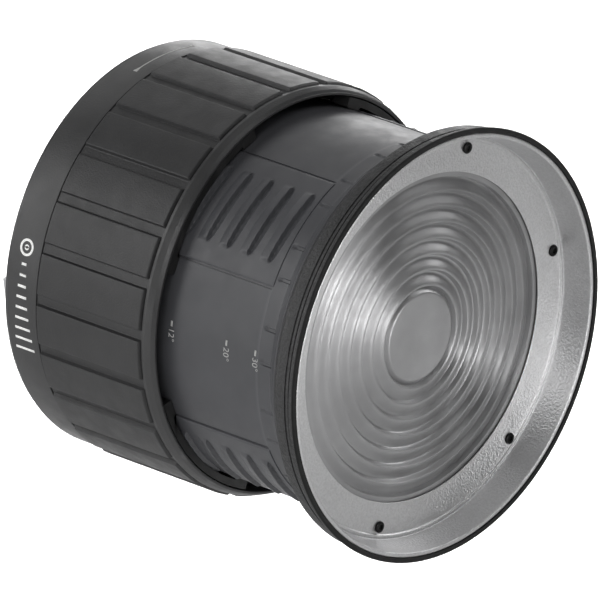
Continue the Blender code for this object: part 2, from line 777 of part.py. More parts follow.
def make_trim_ring():
    """The black front ring: lip, groove, side band and clamping web."""
    web_front = DISH_FLOOR_Z - DISH_SHEET - GAP
    web_back = COLLAR_FRONT_Z + GAP
    outline = [
        (TRIM_LIP_INNER, RIM_Z),
        (RIM_RADIUS - TRIM_EDGE, RIM_Z),
        (RIM_RADIUS, RIM_Z - TRIM_EDGE),
        (RIM_RADIUS, RIM_Z - TRIM_GROOVE_FRONT),
        (TRIM_GROOVE_RADIUS, RIM_Z - TRIM_GROOVE_FRONT),
        (TRIM_GROOVE_RADIUS, RIM_Z - TRIM_GROOVE_BACK),
        (TRIM_BAND_RADIUS, RIM_Z - TRIM_GROOVE_BACK),
        (TRIM_BAND_RADIUS, TRIM_BACK_Z),
        (COLLAR_LIP_RADIUS, web_back),
        (TRIM_INNER, web_back),
        (TRIM_INNER, web_front),
        (TRIM_FOOT_INNER, web_front),
    ]
    ring = turned("trim_ring", outline, TRIM_BLACK)
    holes = [
        rod_mesh(
            "hole", DISH_HOLE_RADIUS, 6.0,
            along_axis(DISH_SCREW_CIRCLE, angle, web_back - 2.0),
        )
        for angle in angles(DISH_SCREW_FIRST_DEG, DISH_SCREWS)
    ]
    cut(ring, joined_cutter("trim_screw_holes", holes))


def make_lens_dish():
    """The silver dish that holds the lens: cone, floor and rolled edge."""
    outline = [
        (DISH_EDGE_RADIUS, DISH_EDGE_Z),
        (DISH_EDGE_RADIUS, DISH_EDGE_Z - DISH_EDGE_HEIGHT),
        (DISH_FLOOR_RADIUS + DISH_SHEET * 0.8, DISH_FLOOR_Z - DISH_SHEET),
        (DISH_OPENING, DISH_FLOOR_Z - DISH_SHEET),
        (DISH_OPENING, DISH_FLOOR_Z),
        (DISH_FLOOR_RADIUS, DISH_FLOOR_Z),
        (DISH_EDGE_RADIUS - DISH_EDGE_WIDTH, DISH_EDGE_Z),
    ]
    dish = turned("lens_dish", outline, SATIN_SILVER)
    holes = [
        rod_mesh(
            "hole", DISH_HOLE_RADIUS, 4.0,
            along_axis(DISH_SCREW_CIRCLE, angle, DISH_FLOOR_Z - 2.0),
        )
        for angle in angles(DISH_SCREW_FIRST_DEG, DISH_SCREWS)
    ]
    cut(dish, joined_cutter("dish_screw_holes", holes))
    for number, angle in enumerate(angles(DISH_SCREW_FIRST_DEG, DISH_SCREWS), start=1):
        seat = along_axis(DISH_SCREW_CIRCLE, angle, DISH_FLOOR_Z + GAP)
        screw_part(
            f"dish_screw_{number}", seat, DISH_HEAD_RADIUS, DISH_HEAD_HEIGHT,
            DISH_SCREW_RADIUS, DISH_SCREW_LENGTH, SCREW_BLACK,
        )


def finish_parts():
    """Shade every part smooth between its sharp edges."""
    for part in PARTS.objects:
        if part.type == "MESH":
            shade(part)


PARTS, CUTTERS, AXIS = start_scene()

STEEL = material("brushed steel", (0.55, 0.55, 0.56), 0.35, 1.0)
BRASS = material("brass", (0.62, 0.45, 0.2), 0.35, 1.0)
DARK_ALUMINIUM = material("black anodised aluminium", (0.03, 0.03, 0.032), 0.4, 1.0)
HOUSING_BLACK = material("black painted casting", (0.03, 0.03, 0.03), 0.55)
SLEEVE_BLACK = material("black sleeve", (0.045, 0.045, 0.047), 0.5)
RUBBER = material("grip rubber", (0.04, 0.04, 0.042), 0.75)
BARREL_GREY = material("dark grey barrel", (0.085, 0.087, 0.095), 0.45)
TRIM_BLACK = material("textured black trim", (0.025, 0.025, 0.025), 0.6)
SATIN_SILVER = material("satin silver", (0.62, 0.62, 0.63), 0.35, 0.9)
GLASS = material("lens glass", (0.85, 0.88, 0.9), 0.1, 0.0, 0.8)
SILICONE = material("silicone gasket", (0.3, 0.3, 0.3), 0.7)
ACETAL = material("natural acetal", (0.7, 0.7, 0.66), 0.45)
ACETAL_BLACK = material("black acetal", (0.02, 0.02, 0.02), 0.5)
SCREW_BLACK = material("black oxide screw", (0.015, 0.015, 0.015), 0.4, 0.6)

make_mount_ring()
make_mount_screws()
make_rear_housing()
make_rear_lens()
make_guide_tube()
make_slide_rings()
make_guide_shoes()
make_focus_sleeve()
make_focus_grip()
make_cam_tube()
make_followers()
make_lens_barrel()
make_louvre_panels()
make_front_collar()
make_fresnel_lens()
make_trim_ring()
make_lens_dish()
finish_parts()
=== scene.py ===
"""Looks of the two-lens fresnel spotlight attachment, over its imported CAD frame.

A place is given by its radius from the optical axis, its angle round that
axis in degrees, and its height z along it, which grows towards the front
lens.  The row frame has the axis along -Y, and the metre as its unit.
"""

import math
from collections import namedtuple

import bmesh
import bpy
from mathutils import Matrix, Vector


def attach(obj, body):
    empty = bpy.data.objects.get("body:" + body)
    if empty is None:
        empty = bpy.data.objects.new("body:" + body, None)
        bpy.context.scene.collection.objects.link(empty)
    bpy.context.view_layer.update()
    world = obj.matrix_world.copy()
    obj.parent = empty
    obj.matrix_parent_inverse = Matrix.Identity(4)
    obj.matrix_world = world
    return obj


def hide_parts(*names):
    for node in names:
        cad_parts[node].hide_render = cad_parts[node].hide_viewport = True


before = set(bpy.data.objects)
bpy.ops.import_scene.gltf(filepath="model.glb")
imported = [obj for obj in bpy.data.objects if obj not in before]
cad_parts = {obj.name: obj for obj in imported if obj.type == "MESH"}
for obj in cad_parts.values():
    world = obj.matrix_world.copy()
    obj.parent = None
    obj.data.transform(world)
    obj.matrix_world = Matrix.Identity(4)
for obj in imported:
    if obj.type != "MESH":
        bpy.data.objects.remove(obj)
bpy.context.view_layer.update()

MM = 0.001
TURN_STEPS = 240
FILLET_STEPS = 4
SHARP_DEG = 38.0

# Camera: where it stands and how its frame lies on the front rim
VIEW_AZIMUTH = -46.85
VIEW_ELEVATION = 22.07
VIEW_DISTANCE = 6.513
VIEW_LENS = 840.0
VIEW_RIGHT_OF_RIM = -68.5 * MM
VIEW_ABOVE_RIM = 21.5 * MM

FLOOR_Z = -0.45
FLOOR_SIZE = 30.0
FLOOR_LIGHT_BEHIND = 1.15
FLOOR_LIGHT_HEIGHT = 0.75
FLOOR_LIGHT_CONE_DEG = 66.0
FLOOR_LIGHT_POWER = 110.0
WORLD_STRENGTH = 0.03

OBJECT_MIDDLE = Vector((0.0, -0.1, 0.0))

# Name, azimuth from the front lens and elevation in degrees, distance and size in metres, watts
SOFT_LIGHTS = (
    ("left_high", -132.0, 30.0, 2.0, 1.0, 7.5),
    ("left_level", -125.0, 4.0, 2.0, 0.8, 4.0),
    ("left_low", -100.0, -10.0, 2.0, 1.0, 6.0),
    ("left_back", -158.0, 8.0, 2.0, 0.8, 5.0),
    ("left_side", -72.0, 29.0, 2.0, 0.6, 6.5),
    ("left_front", -48.0, 8.0, 2.0, 1.0, 5.0),
    ("top", 20.0, 76.0, 2.0, 1.0, 4.0),
    ("right", 72.0, 20.0, 2.0, 0.6, 7.5),
    ("front", 5.0, 0.0, 2.0, 0.6, 13.5),
    ("front_low", 47.0, -22.0, 0.9, 0.25, 0.03),
    ("front_high", 50.0, 36.0, 2.0, 0.6, 2.5),
    ("back_high", 150.0, 45.0, 1.6, 1.4, 5.0),
    ("back_right", 127.0, 9.0, 2.0, 0.8, 7.0),
)

Extent = namedtuple("Extent", "inner outer back front centre width")


# ---------------------------------------------------------------- measuring


def place(radius, angle_deg, z):
    """A point in the row frame."""
    turn = math.radians(angle_deg)
    return Vector((radius * math.cos(turn), -z, radius * math.sin(turn)))


def measure(node):
    """Radii, heights, centre angle and angular width of a CAD node."""
    places = [vertex.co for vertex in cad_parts[node].data.vertices]
    radii = [math.hypot(p.x, p.z) for p in places]
    heights = [-p.y for p in places]
    middle = math.atan2(sum(p.z for p in places), sum(p.x for p in places))
    swings = []
    for p in places:
        swing = math.atan2(p.z, p.x) - middle
        swings.append((swing + math.pi) % math.tau - math.pi)
    centre = math.degrees(middle + (min(swings) + max(swings)) / 2.0)
    width = math.degrees(max(swings) - min(swings))
    return Extent(min(radii), max(radii), min(heights), max(heights), centre, width)


def steps_between(start, end, count):
    """Evenly spaced values from start to end."""
    return [start + (end - start) * i / count for i in range(count + 1)]


def smooth_step(value, low, high):
    """0 below low, 1 above high, and an S-curve between."""
    t = min(1.0, max(0.0, (value - low) / (high - low)))
    return t * t * (3.0 - 2.0 * t)


def angle_off(angle_deg, centre_deg):
    """How far an angle lies from a centre, from -180 to 180."""
    return (angle_deg - centre_deg + 180.0) % 360.0 - 180.0


# ------------------------------------------------------------ mesh building


def rounded(corners):
    """Round each (u, v, fillet) corner of a closed outline."""
    points = []
    count = len(corners)
    for i, (u, v, fillet) in enumerate(corners):
        here = Vector((u, v))
        if fillet == 0.0:
            points.append(here)
            continue
        towards_last = Vector(corners[i - 1][:2]) - here
        towards_next = Vector(corners[(i + 1) % count][:2]) - here
        reach = fillet / math.tan(towards_last.angle(towards_next) / 2.0)
        start = here + towards_last.normalized() * reach
        end = here + towards_next.normalized() * reach
        for t in steps_between(0.0, 1.0, FILLET_STEPS):
            points.append(start * (1 - t) ** 2 + here * 2 * t * (1 - t) + end * t**2)
    return points


def subdivided(points, step):
    """Add points to the long runs of a closed outline, so that they can bend."""
    result = []
    for here, following in zip(points, points[1:] + points[:1]):
        count = max(1, round((following - here).length / step))
        result += [here.lerp(following, i / count) for i in range(count)]
    return result


def add_piece(name, bm, finish, body, replaced=()):
    """Turn a bmesh into a shaded piece that rides on a body."""
    bmesh.ops.remove_doubles(bm, verts=bm.verts[:], dist=0.000001)
    bmesh.ops.recalc_face_normals(bm, faces=bm.faces[:])
    mesh = bpy.data.meshes.new(name)
    bm.to_mesh(mesh)
    bm.free()
    mesh.shade_smooth()
    mesh.set_sharp_from_angle(angle=math.radians(SHARP_DEG))
    mesh.materials.append(finish)
    piece = bpy.data.objects.new(name, mesh)
    bpy.context.scene.collection.objects.link(piece)
    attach(piece, body)
    if replaced:
        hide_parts(*replaced)
    return piece


def turned(outline, angles=None, shape=None):
    """A closed outline of (radius, z) points turned round the axis.

    shape(radius, z, angle) may return another radius for a point.
    """
    if angles is None:
        angles = [360.0 * i / TURN_STEPS for i in range(TURN_STEPS)]
    bm = bmesh.new()
    rings = []
    for angle in angles:
        ring = []
        for radius, z in outline:
            if shape is not None:
                radius = shape(radius, z, angle)
            ring.append(bm.verts.new(place(radius, angle, z)))
        rings.append(ring)
    count = len(outline)
    for ring, following in zip(rings, rings[1:] + rings[:1]):
        for i in range(count):
            j = (i + 1) % count
            bm.faces.new((ring[i], ring[j], following[j], following[i]))
    return bm


def skin(angles, heights, outer, inner, is_open=None):
    """A curved sheet between two radii, open where is_open(angle, z) says."""
    bm = bmesh.new()
    top = [[bm.verts.new(place(outer(a, z), a, z)) for z in heights] for a in angles]
    under = [[bm.verts.new(place(inner(a, z), a, z)) for z in heights] for a in angles]
    for i, (a0, a1) in enumerate(zip(angles, angles[1:])):
        for j, (z0, z1) in enumerate(zip(heights, heights[1:])):
            if is_open is not None and is_open((a0 + a1) / 2.0, (z0 + z1) / 2.0):
                continue
            corners = ((i, j), (i, j + 1), (i + 1, j + 1), (i + 1, j))
            bm.faces.new([top[m][n] for m, n in corners])
            bm.faces.new([under[m][n] for m, n in reversed(corners)])
    pair = {}
    for top_row, under_row in zip(top, under):
        pair.update(zip(top_row, under_row))
    rim = [e for e in bm.edges if e.is_boundary and e.verts[0] in pair and e.verts[1] in pair]
    for edge in rim:
        a, b = edge.verts
        bm.faces.new((a, b, pair[b], pair[a]))
    loose = [v for v in bm.verts if not v.link_faces]
    bmesh.ops.delete(bm, geom=loose, context="VERTS")
    return bm


def plate(outline, back, front, centre_deg, radius):
    """An outline of (arc length, radius) points, stood along the axis."""
    bm = bmesh.new()
    layers = []
    for z in (back, front):
        turns = [(centre_deg + math.degrees(u / radius), v) for u, v in outline]
        layers.append([bm.verts.new(place(v, a, z)) for a, v in turns])
    count = len(outline)
    for i in range(count):
        j = (i + 1) % count
        bm.faces.new((layers[0][i], layers[0][j], layers[1][j], layers[1][i]))
    ends = [bm.faces.new(layers[0]), bm.faces.new(layers[1])]
    bmesh.ops.triangulate(bm, faces=ends, ngon_method="EAR_CLIP")
    return bm


def bevel(piece, width):
    """Round a piece's sharp edges."""
    change = piece.modifiers.new("edge rounding", "BEVEL")
    change.width = width
    change.segments = 3
    change.limit_method = "ANGLE"
    change.angle_limit = math.radians(SHARP_DEG)
    change.harden_normals = True


def facing(radius, angle_deg, z, forward=True):
    """Frame on the axis circle, with its Z forward or backward."""
    z_axis = Vector((0.0, -1.0 if forward else 1.0, 0.0))
    x_axis = (place(1.0, angle_deg, 0.0)).normalized()
    y_axis = z_axis.cross(x_axis)
    turn = Matrix((x_axis, y_axis, z_axis)).transposed().to_4x4()
    return Matrix.Translation(place(radius, angle_deg, z)) @ turn


def socket_screw(place_frame, head_radius, head_height, shank_radius, shank_length):
    """A low domed screw head with a hexagonal socket, on a plain shank."""
    bm = bmesh.new()
    sides = 36
    socket = head_radius * 0.45
    bowl = head_height * 0.55
    rows = [
        (shank_radius, -shank_length, False),
        (shank_radius, 0.0, False),
        (head_radius * 0.96, 0.0, False),
        (head_radius, head_height * 0.12, False),
        (head_radius, head_height * 0.6, False),
        (head_radius * 0.93, head_height * 0.84, False),
        (head_radius * 0.78, head_height * 0.96, False),
        (head_radius * 0.62, head_height, False),
        (socket * 1.12, head_height * 0.98, True),
        (socket, head_height * 0.9, True),
        (socket, head_height - bowl, True),
    ]
    rings = []
    for radius, height, is_hexagon in rows:
        ring = []
        for i in range(sides):
            turn = math.tau * i / sides
            reach = radius
            if is_hexagon:
                within = (turn + math.pi / 6.0) % (math.pi / 3.0) - math.pi / 6.0
                reach = radius / math.cos(within)
            point = Vector((reach * math.cos(turn), reach * math.sin(turn), height))
            ring.append(bm.verts.new(place_frame @ point))
        rings.append(ring)
    for low, high in zip(rings, rings[1:]):
        for i in range(sides):
            j = (i + 1) % sides
            bm.faces.new((low[i], low[j], high[j], high[i]))
    bm.faces.new(rings[0])
    bm.faces.new(rings[-1])
    return bm


# ---------------------------------------------------------------- materials


class Finish:
    """A material with one Principled BSDF and the nodes that vary it."""

    def __init__(self, name, colour, roughness, metallic=0.0):
        self.material = bpy.data.materials.new(name)
        self.material.use_nodes = True
        self.tree = self.material.node_tree
        self.shader = self.tree.nodes["Principled BSDF"]
        self.shader.inputs["Base Color"].default_value = (*colour, 1.0)
        self.shader.inputs["Roughness"].default_value = roughness
        self.shader.inputs["Metallic"].default_value = metallic
        self.colour = colour
        self.roughness = roughness
        self.place = self.tree.nodes.new("ShaderNodeTexCoord").outputs["Object"]
        self.normal = None
        self.base = None

    def set(self, socket, value):
        """Set a shader socket that is the same all over."""
        self.shader.inputs[socket].default_value = value

    def noise(self, size, detail=3.0, place_socket=None, roughness=0.55):
        """Noise with features of a given size, as a value from 0 to 1."""
        node = self.tree.nodes.new("ShaderNodeTexNoise")
        node.inputs["Scale"].default_value = 1.0 / size
        node.inputs["Detail"].default_value = detail
        node.inputs["Roughness"].default_value = roughness
        self.tree.links.new(place_socket or self.place, node.inputs["Vector"])
        return node.outputs["Fac"]

    def turned_place(self, stretch):
        """A coordinate that changes fast along a radius and slowly round the axis."""
        node = self.tree.nodes.new("ShaderNodeSeparateXYZ")
        self.tree.links.new(self.place, node.inputs[0])
        angle = self.maths("ARCTAN2", node.outputs["Z"], node.outputs["X"])
        joined = self.tree.nodes.new("ShaderNodeCombineXYZ")
        self.tree.links.new(self.radius(), joined.inputs["X"])
        self.tree.links.new(node.outputs["Y"], joined.inputs["Y"])
        self.tree.links.new(self.maths("MULTIPLY", angle, stretch), joined.inputs["Z"])
        return joined.outputs[0]

    def radius(self):
        """Distance from the optical axis."""
        node = self.tree.nodes.new("ShaderNodeSeparateXYZ")
        self.tree.links.new(self.place, node.inputs[0])
        across = self.maths("MULTIPLY", node.outputs["X"], node.outputs["X"])
        upward = self.maths("MULTIPLY", node.outputs["Z"], node.outputs["Z"])
        return self.maths("SQRT", self.maths("ADD", across, upward))

    def maths(self, operation, first, second=None):
        """A Math node of two sockets, or of a socket and a number."""
        node = self.tree.nodes.new("ShaderNodeMath")
        node.operation = operation
        self.tree.links.new(first, node.inputs[0])
        if isinstance(second, float):
            node.inputs[1].default_value = second
        elif second is not None:
            self.tree.links.new(second, node.inputs[1])
        return node.outputs[0]

    def spread(self, value, low, high, from_low=0.35, from_high=0.65):
        """Map a noise value onto a range."""
        node = self.tree.nodes.new("ShaderNodeMapRange")
        node.inputs["From Min"].default_value = from_low
        node.inputs["From Max"].default_value = from_high
        node.inputs["To Min"].default_value = low
        node.inputs["To Max"].default_value = high
        self.tree.links.new(value, node.inputs["Value"])
        return node.outputs["Result"]

    def mix(self, factor):
        """A colour Mix node led by a factor: its two colours and its result."""
        node = self.tree.nodes.new("ShaderNodeMix")
        node.data_type = "RGBA"
        share, first, second = [socket for socket in node.inputs if socket.enabled]
        result = [socket for socket in node.outputs if socket.enabled][0]
        self.tree.links.new(factor, share)
        self.tree.links.new(result, self.shader.inputs["Base Color"])
        return first, second, result

    def tint(self, value, dark, light):
        """Vary the base colour between two brightness factors."""
        first, second, self.base = self.mix(self.spread(value, 0.0, 1.0))
        first.default_value = (*[c * dark for c in self.colour], 1.0)
        second.default_value = (*[min(1.0, c * light) for c in self.colour], 1.0)

    def wear_and_highlight_edges(self, colour, low=0.53, high=0.62, amount=0.6):
        """Lighten the convex edges: partly wear, partly a painted highlight where edges catch the
        light.
        """
        geometry = self.tree.nodes.new("ShaderNodeNewGeometry")
        # Pointiness picks out convex edges; their lighter colour is wear and painted highlight
        # together.
        edge = self.spread(geometry.outputs["Pointiness"], 0.0, amount, low, high)
        first, second, worn_and_highlit = self.mix(edge)
        self.tree.links.new(self.base, first)
        second.default_value = (*colour, 1.0)
        self.base = worn_and_highlit

    def brushed(self, amount, plain_radius=None):
        """Stretch highlights along the radius, as fine rings round the axis do."""
        node = self.tree.nodes.new("ShaderNodeTangent")
        node.direction_type = "RADIAL"
        node.axis = "Y"
        self.tree.links.new(node.outputs["Tangent"], self.shader.inputs["Tangent"])
        self.set("Anisotropic Rotation", 0.25)
        self.set("Anisotropic", amount)
        if plain_radius is not None:
            start = plain_radius * 0.6
            share = self.spread(self.radius(), 0.0, amount, start, plain_radius)
            self.tree.links.new(share, self.shader.inputs["Anisotropic"])

    def gloss(self, value, spread):
        """Vary the roughness by plus and minus a spread."""
        low = max(0.02, self.roughness - spread)
        result = self.spread(value, low, self.roughness + spread)
        self.tree.links.new(result, self.shader.inputs["Roughness"])

    def bump(self, value, depth):
        """Add a bump of a real depth on top of those before."""
        node = self.tree.nodes.new("ShaderNodeBump")
        node.inputs["Distance"].default_value = depth
        node.inputs["Strength"].default_value = 1.0
        self.tree.links.new(value, node.inputs["Height"])
        if self.normal is not None:
            self.tree.links.new(self.normal, node.inputs["Normal"])
        self.normal = node.outputs["Normal"]
        self.tree.links.new(self.normal, self.shader.inputs["Normal"])


def moulded(name, colour, roughness, grain=0.6 * MM, depth=0.05 * MM, edge=None):
    """Moulded plastic or paint: fine grain, slow patches, and lighter edges that are partly wear
    and partly painted highlight.
    """
    finish = Finish(name, colour, roughness)
    patches = finish.noise(35 * MM, 4.0)
    finish.tint(patches, 0.9, 1.1)
    # Lighter edges: wear and painted highlight.
    finish.wear_and_highlight_edges(edge or tuple(2.2 * c for c in colour))
    finish.gloss(finish.noise(9 * MM), 0.05)
    finish.bump(finish.noise(grain, 2.0), depth)
    return finish.material


def cast(name, colour, roughness, grain, depth):
    """Coarse textured paint on a casting, with bright edges that are partly wear and partly painted
    highlight.
    """
    finish = Finish(name, colour, roughness)
    pebbles = finish.noise(grain, 3.0, roughness=0.7)
    finish.tint(pebbles, 0.6, 1.5)
    # Bright edges: wear and painted highlight.
    finish.wear_and_highlight_edges((0.08, 0.08, 0.083), 0.52, 0.6, 0.8)
    finish.gloss(finish.noise(6 * MM), 0.08)
    finish.bump(pebbles, depth)
    return finish.material


def shade_darkened_bead():
    """The trim ring's front bead: matt black paint, made far darker than the rest of the ring as
    painted shade along the lip.
    """
    # Near-black colour, darker than the ring's own paint: partly the bead's black, partly painted
    # shade.
    finish = Finish("matt black bead with painted shade", (0.007, 0.007, 0.007), 0.6)
    finish.set("Specular IOR Level", 0.25)
    finish.tint(finish.noise(5 * MM), 0.8, 1.3)
    finish.gloss(finish.noise(9 * MM), 0.06)
    finish.bump(finish.noise(0.8 * MM), 0.05 * MM)
    return finish.material


def machined(name, colour, roughness, lines=0.5 * MM, depth=0.004 * MM):
    """Turned metal with fine lathe lines round the axis."""
    finish = Finish(name, colour, roughness, 1.0)
    lathe = finish.noise(lines, 2.0, finish.turned_place(0.01))
    finish.tint(finish.noise(20 * MM), 0.92, 1.05)
    # Lighter edges: partly wear, partly painted highlight.
    finish.wear_and_highlight_edges(tuple(min(1.0, 1.5 * c) for c in colour), amount=0.5)
    finish.gloss(lathe, 0.07)
    finish.bump(lathe, depth)
    return finish.material


def satin_silver():
    """The dish: satin metal, turned, with a pebbled coat."""
    finish = Finish("satin silver", (0.58, 0.58, 0.585), 0.38, 0.9)
    pebbles = finish.noise(1.1 * MM, 2.0, roughness=0.6)
    finish.tint(pebbles, 0.94, 1.06)
    finish.gloss(finish.noise(4 * MM), 0.05)
    finish.bump(pebbles, 0.3 * MM)
    finish.brushed(0.7)
    return finish.material


def frosted_glass():
    """The fresnel lens: pressed glass with the fine turning lines of its mould."""
    finish = Finish("frosted fresnel glass", (0.37, 0.37, 0.375), 0.42, 0.87)
    finish.set("IOR", 1.52)
    lines = finish.noise(1.6 * MM, 2.0, finish.turned_place(0.01))
    finish.tint(finish.noise(40 * MM), 0.86, 1.08)
    finish.gloss(finish.noise(15 * MM), 0.05)
    finish.bump(lines, 0.05 * MM)
    finish.brushed(0.6, 26 * MM)
    return finish.material


def clear_glass():
    """The condenser lens: polished glass."""
    finish = Finish("polished glass", (0.93, 0.95, 0.96), 0.04)
    finish.set("IOR", 1.52)
    finish.set("Transmission Weight", 1.0)
    finish.tint(finish.noise(25 * MM), 0.98, 1.02)
    finish.gloss(finish.noise(12 * MM), 0.02)
    finish.bump(finish.noise(8 * MM), 0.01 * MM)
    return finish.material


def mark_ink(name, colour, painted_glow):
    """Silk-screened marks: slightly uneven ink, with a painted glow that brightens them beyond what
    the lamps give.
    """
    finish = Finish(name, colour, 0.55)
    # Emission paints a glow onto the ink: painted light, not a lamp.
    finish.set("Emission Color", (1.0, 1.0, 1.0, 1.0))
    finish.set("Emission Strength", painted_glow)
    finish.tint(finish.noise(0.8 * MM), 0.88, 1.08)
    finish.bump(finish.noise(0.4 * MM), 0.01 * MM)
    return finish.material


SLEEVE = moulded("satin black sleeve", (0.044, 0.044, 0.045), 0.38, 0.9 * MM, 0.09 * MM)
RUBBER = moulded("grip rubber", (0.03, 0.03, 0.031), 0.46, 0.9 * MM, 0.12 * MM)
BARREL = moulded("dark grey barrel", (0.066, 0.067, 0.073), 0.42, 0.9 * MM, 0.025 * MM)
HOUSING = moulded("black housing", (0.035, 0.035, 0.035), 0.5, 0.8 * MM, 0.06 * MM)
SHOE = moulded("black acetal", (0.018, 0.018, 0.018), 0.5, 0.8 * MM, 0.02 * MM)
ACETAL = moulded("natural acetal", (0.62, 0.62, 0.58), 0.4, 1.2 * MM, 0.01 * MM, (0.75, 0.75, 0.72))
SILICONE = moulded("silicone gasket", (0.3, 0.3, 0.3), 0.65, 1.0 * MM, 0.02 * MM)
TRIM = cast("textured black trim", (0.03, 0.03, 0.031), 0.46, 1.3 * MM, 0.45 * MM)
SHADE_DARKENED_BEAD = shade_darkened_bead()
STEEL = machined("turned steel", (0.56, 0.56, 0.57), 0.32)
BRASS = machined("turned brass", (0.62, 0.45, 0.2), 0.32)
ANODISED = machined("black anodised aluminium", (0.03, 0.03, 0.032), 0.42)
SCREW = machined("black oxide steel", (0.02, 0.02, 0.02), 0.4)
SILVER = satin_silver()
FRESNEL = frosted_glass()
LENS = clear_glass()
INK = mark_ink("white ink with painted glow", (0.86, 0.86, 0.84), 0.22)
GREY_INK = mark_ink("grey ink with painted glow", (0.42, 0.42, 0.41), 0.05)


# ------------------------------------------------------------- front pieces


# How far the dish's rolled edge stands out past its CAD solid, over the trim ring's lip
DISH_EDGE = 0.8 * MM


def make_trim_ring():
    """The black front ring: matt bead, lip, groove, band and clamping web."""
    ring = measure("trim_ring")
    dish = measure("lens_dish")
    rim = ring.front
    lip_inner = dish.outer + DISH_EDGE + 0.1 * MM
    band = ring.outer - 2.1 * MM
    groove = ring.outer - 3.0 * MM
    line = band - 0.6 * MM
    web_front = dish.back - 0.3 * MM
    bead_back = rim - 1.1 * MM
    outline = [
        (lip_inner, bead_back, 0.2 * MM),
        (ring.outer - 0.5 * MM, bead_back, 0.2 * MM),
        (ring.outer - 0.5 * MM, rim - 3.4 * MM, 0.2 * MM),
        (groove, rim - 3.9 * MM, 0.2 * MM),
        (groove, rim - 5.2 * MM, 0.2 * MM),
        (band, rim - 5.2 * MM, 0.3 * MM),
        (band, rim - 6.6 * MM, 0.2 * MM),
        (line, rim - 6.7 * MM, 0.1 * MM),
        (line, rim - 7.5 * MM, 0.1 * MM),
        (band, rim - 7.6 * MM, 0.2 * MM),
        (band, rim - 13.2 * MM, 0.4 * MM),
        (band - 4.5 * MM, ring.back, 0.4 * MM),
        (ring.inner, ring.back, 0.2 * MM),
        (ring.inner, web_front, 0.2 * MM),
        (dish.outer - 3.2 * MM, web_front, 0.2 * MM),
        (lip_inner, rim - 2.2 * MM, 0.2 * MM),
    ]
    bm = turned(rounded(outline))
    add_piece("trim_ring_detail", bm, TRIM, "barrel", ["trim_ring"])
    bead = [
        (lip_inner, rim, 0.3 * MM),
        (ring.outer, rim, 0.7 * MM),
        (ring.outer, bead_back - 0.1 * MM, 0.2 * MM),
        (lip_inner, bead_back - 0.1 * MM, 0.1 * MM),
    ]
    # The bead's near-black finish is partly painted shade.
    add_piece("trim_ring_bead", turned(rounded(bead)), SHADE_DARKENED_BEAD, "barrel")


def make_lens_dish():
    """The silver dish: rolled edge, cone, bead and floor in thin sheet."""
    dish = measure("lens_dish")
    floor = dish.back + 0.6 * MM
    foot = dish.outer - 4.0 * MM
    bead = floor + 0.7 * MM
    outline = [
        (dish.outer - 1.5 * MM, dish.front, 0.8 * MM),
        (dish.outer + DISH_EDGE, dish.front, 0.8 * MM),
        (dish.outer + DISH_EDGE, dish.front - 1.8 * MM, 0.4 * MM),
        (foot + 0.5 * MM, dish.back, 0.3 * MM),
        (dish.inner, dish.back, 0.2 * MM),
        (dish.inner, floor, 0.35 * MM),
        (foot - 2.6 * MM, floor, 0.6 * MM),
        (foot - 2.1 * MM, bead, 0.4 * MM),
        (foot - 1.0 * MM, bead, 0.4 * MM),
        (foot - 0.4 * MM, floor + 0.2 * MM, 0.4 * MM),
        (foot, floor + 0.9 * MM, 0.5 * MM),
    ]
    bm = turned(rounded(outline))
    add_piece("lens_dish_detail", bm, SILVER, "barrel", ["lens_dish"])


def make_dish_screws():
    """The six black screws in the dish's floor."""
    floor = measure("lens_dish").back + 0.6 * MM
    for number in range(1, 7):
        node = f"dish_screw_{number}"
        screw = measure(node)
        middle = (screw.inner + screw.outer) / 2.0
        head = (screw.outer - screw.inner) / 2.0
        seat = facing(middle, screw.centre, floor + 0.05 * MM)
        bm = socket_screw(seat, head, screw.front - floor, 0.5 * head, floor - screw.back)
        add_piece(node + "_detail", bm, SCREW, "barrel", [node])


LENS_CENTRE = 23.4 * MM
LENS_RING_PITCH = 7.65 * MM
LENS_RING_COUNT = 7
LENS_RING_DEPTH = 2.4 * MM
LENS_FACE_INSET = 0.2 * MM
# Where a ring's crest lies, as a share of its width from its inner edge
LENS_CREST = 0.2
# The bowl's depth at its middle, how much it rises, and the step down at its edge
BOWL_DEPTH = 1.3 * MM
BOWL_RISE = 0.8 * MM
BOWL_STEP = 1.7 * MM


def lens_face(radius, front):
    """Height of the fresnel face: a shallow bowl, then rounded saw-tooth rings."""
    if radius < LENS_CENTRE:
        bowl = smooth_step(radius, 0.0, 0.75 * LENS_CENTRE)
        edge = smooth_step(radius, 0.9 * LENS_CENTRE, LENS_CENTRE)
        return front - BOWL_DEPTH + BOWL_RISE * bowl - BOWL_STEP * edge
    place_in_ring = (radius - LENS_CENTRE) / LENS_RING_PITCH
    ring = min(LENS_RING_COUNT - 1, int(place_in_ring))
    t = place_in_ring - ring
    wave = smooth_step(t, 0.0, LENS_CREST) * (1.0 - smooth_step(t, LENS_CREST, 1.0))
    return front - LENS_FACE_INSET - LENS_RING_DEPTH * (1.0 - wave)


def make_fresnel_lens():
    """The front lens: a dished centre with seven rings round it."""
    lens = measure("fresnel_lens")
    edge = LENS_CENTRE + LENS_RING_COUNT * LENS_RING_PITCH
    face = steps_between(0.0, edge, 150)
    outline = [(r, lens_face(r, lens.front)) for r in face]
    outline += [
        (edge + 0.6 * MM, lens.front - LENS_FACE_INSET),
        (lens.outer, lens.front - LENS_FACE_INSET),
        (lens.outer, lens.back),
        (0.0, lens.back),
    ]
    bm = turned(outline)
    add_piece("fresnel_lens_detail", bm, FRESNEL, "barrel", ["fresnel_lens"])


NECK_ZONES = 14
NECK_ZONE_DEG = 10.5
NECK_ZONE_FIRST = 143.4
NECK_GROOVE_DEG = 1.1
NECK_GROOVE_DEPTH = 0.55 * MM
NECK_GROOVE_START = 1.5 * MM
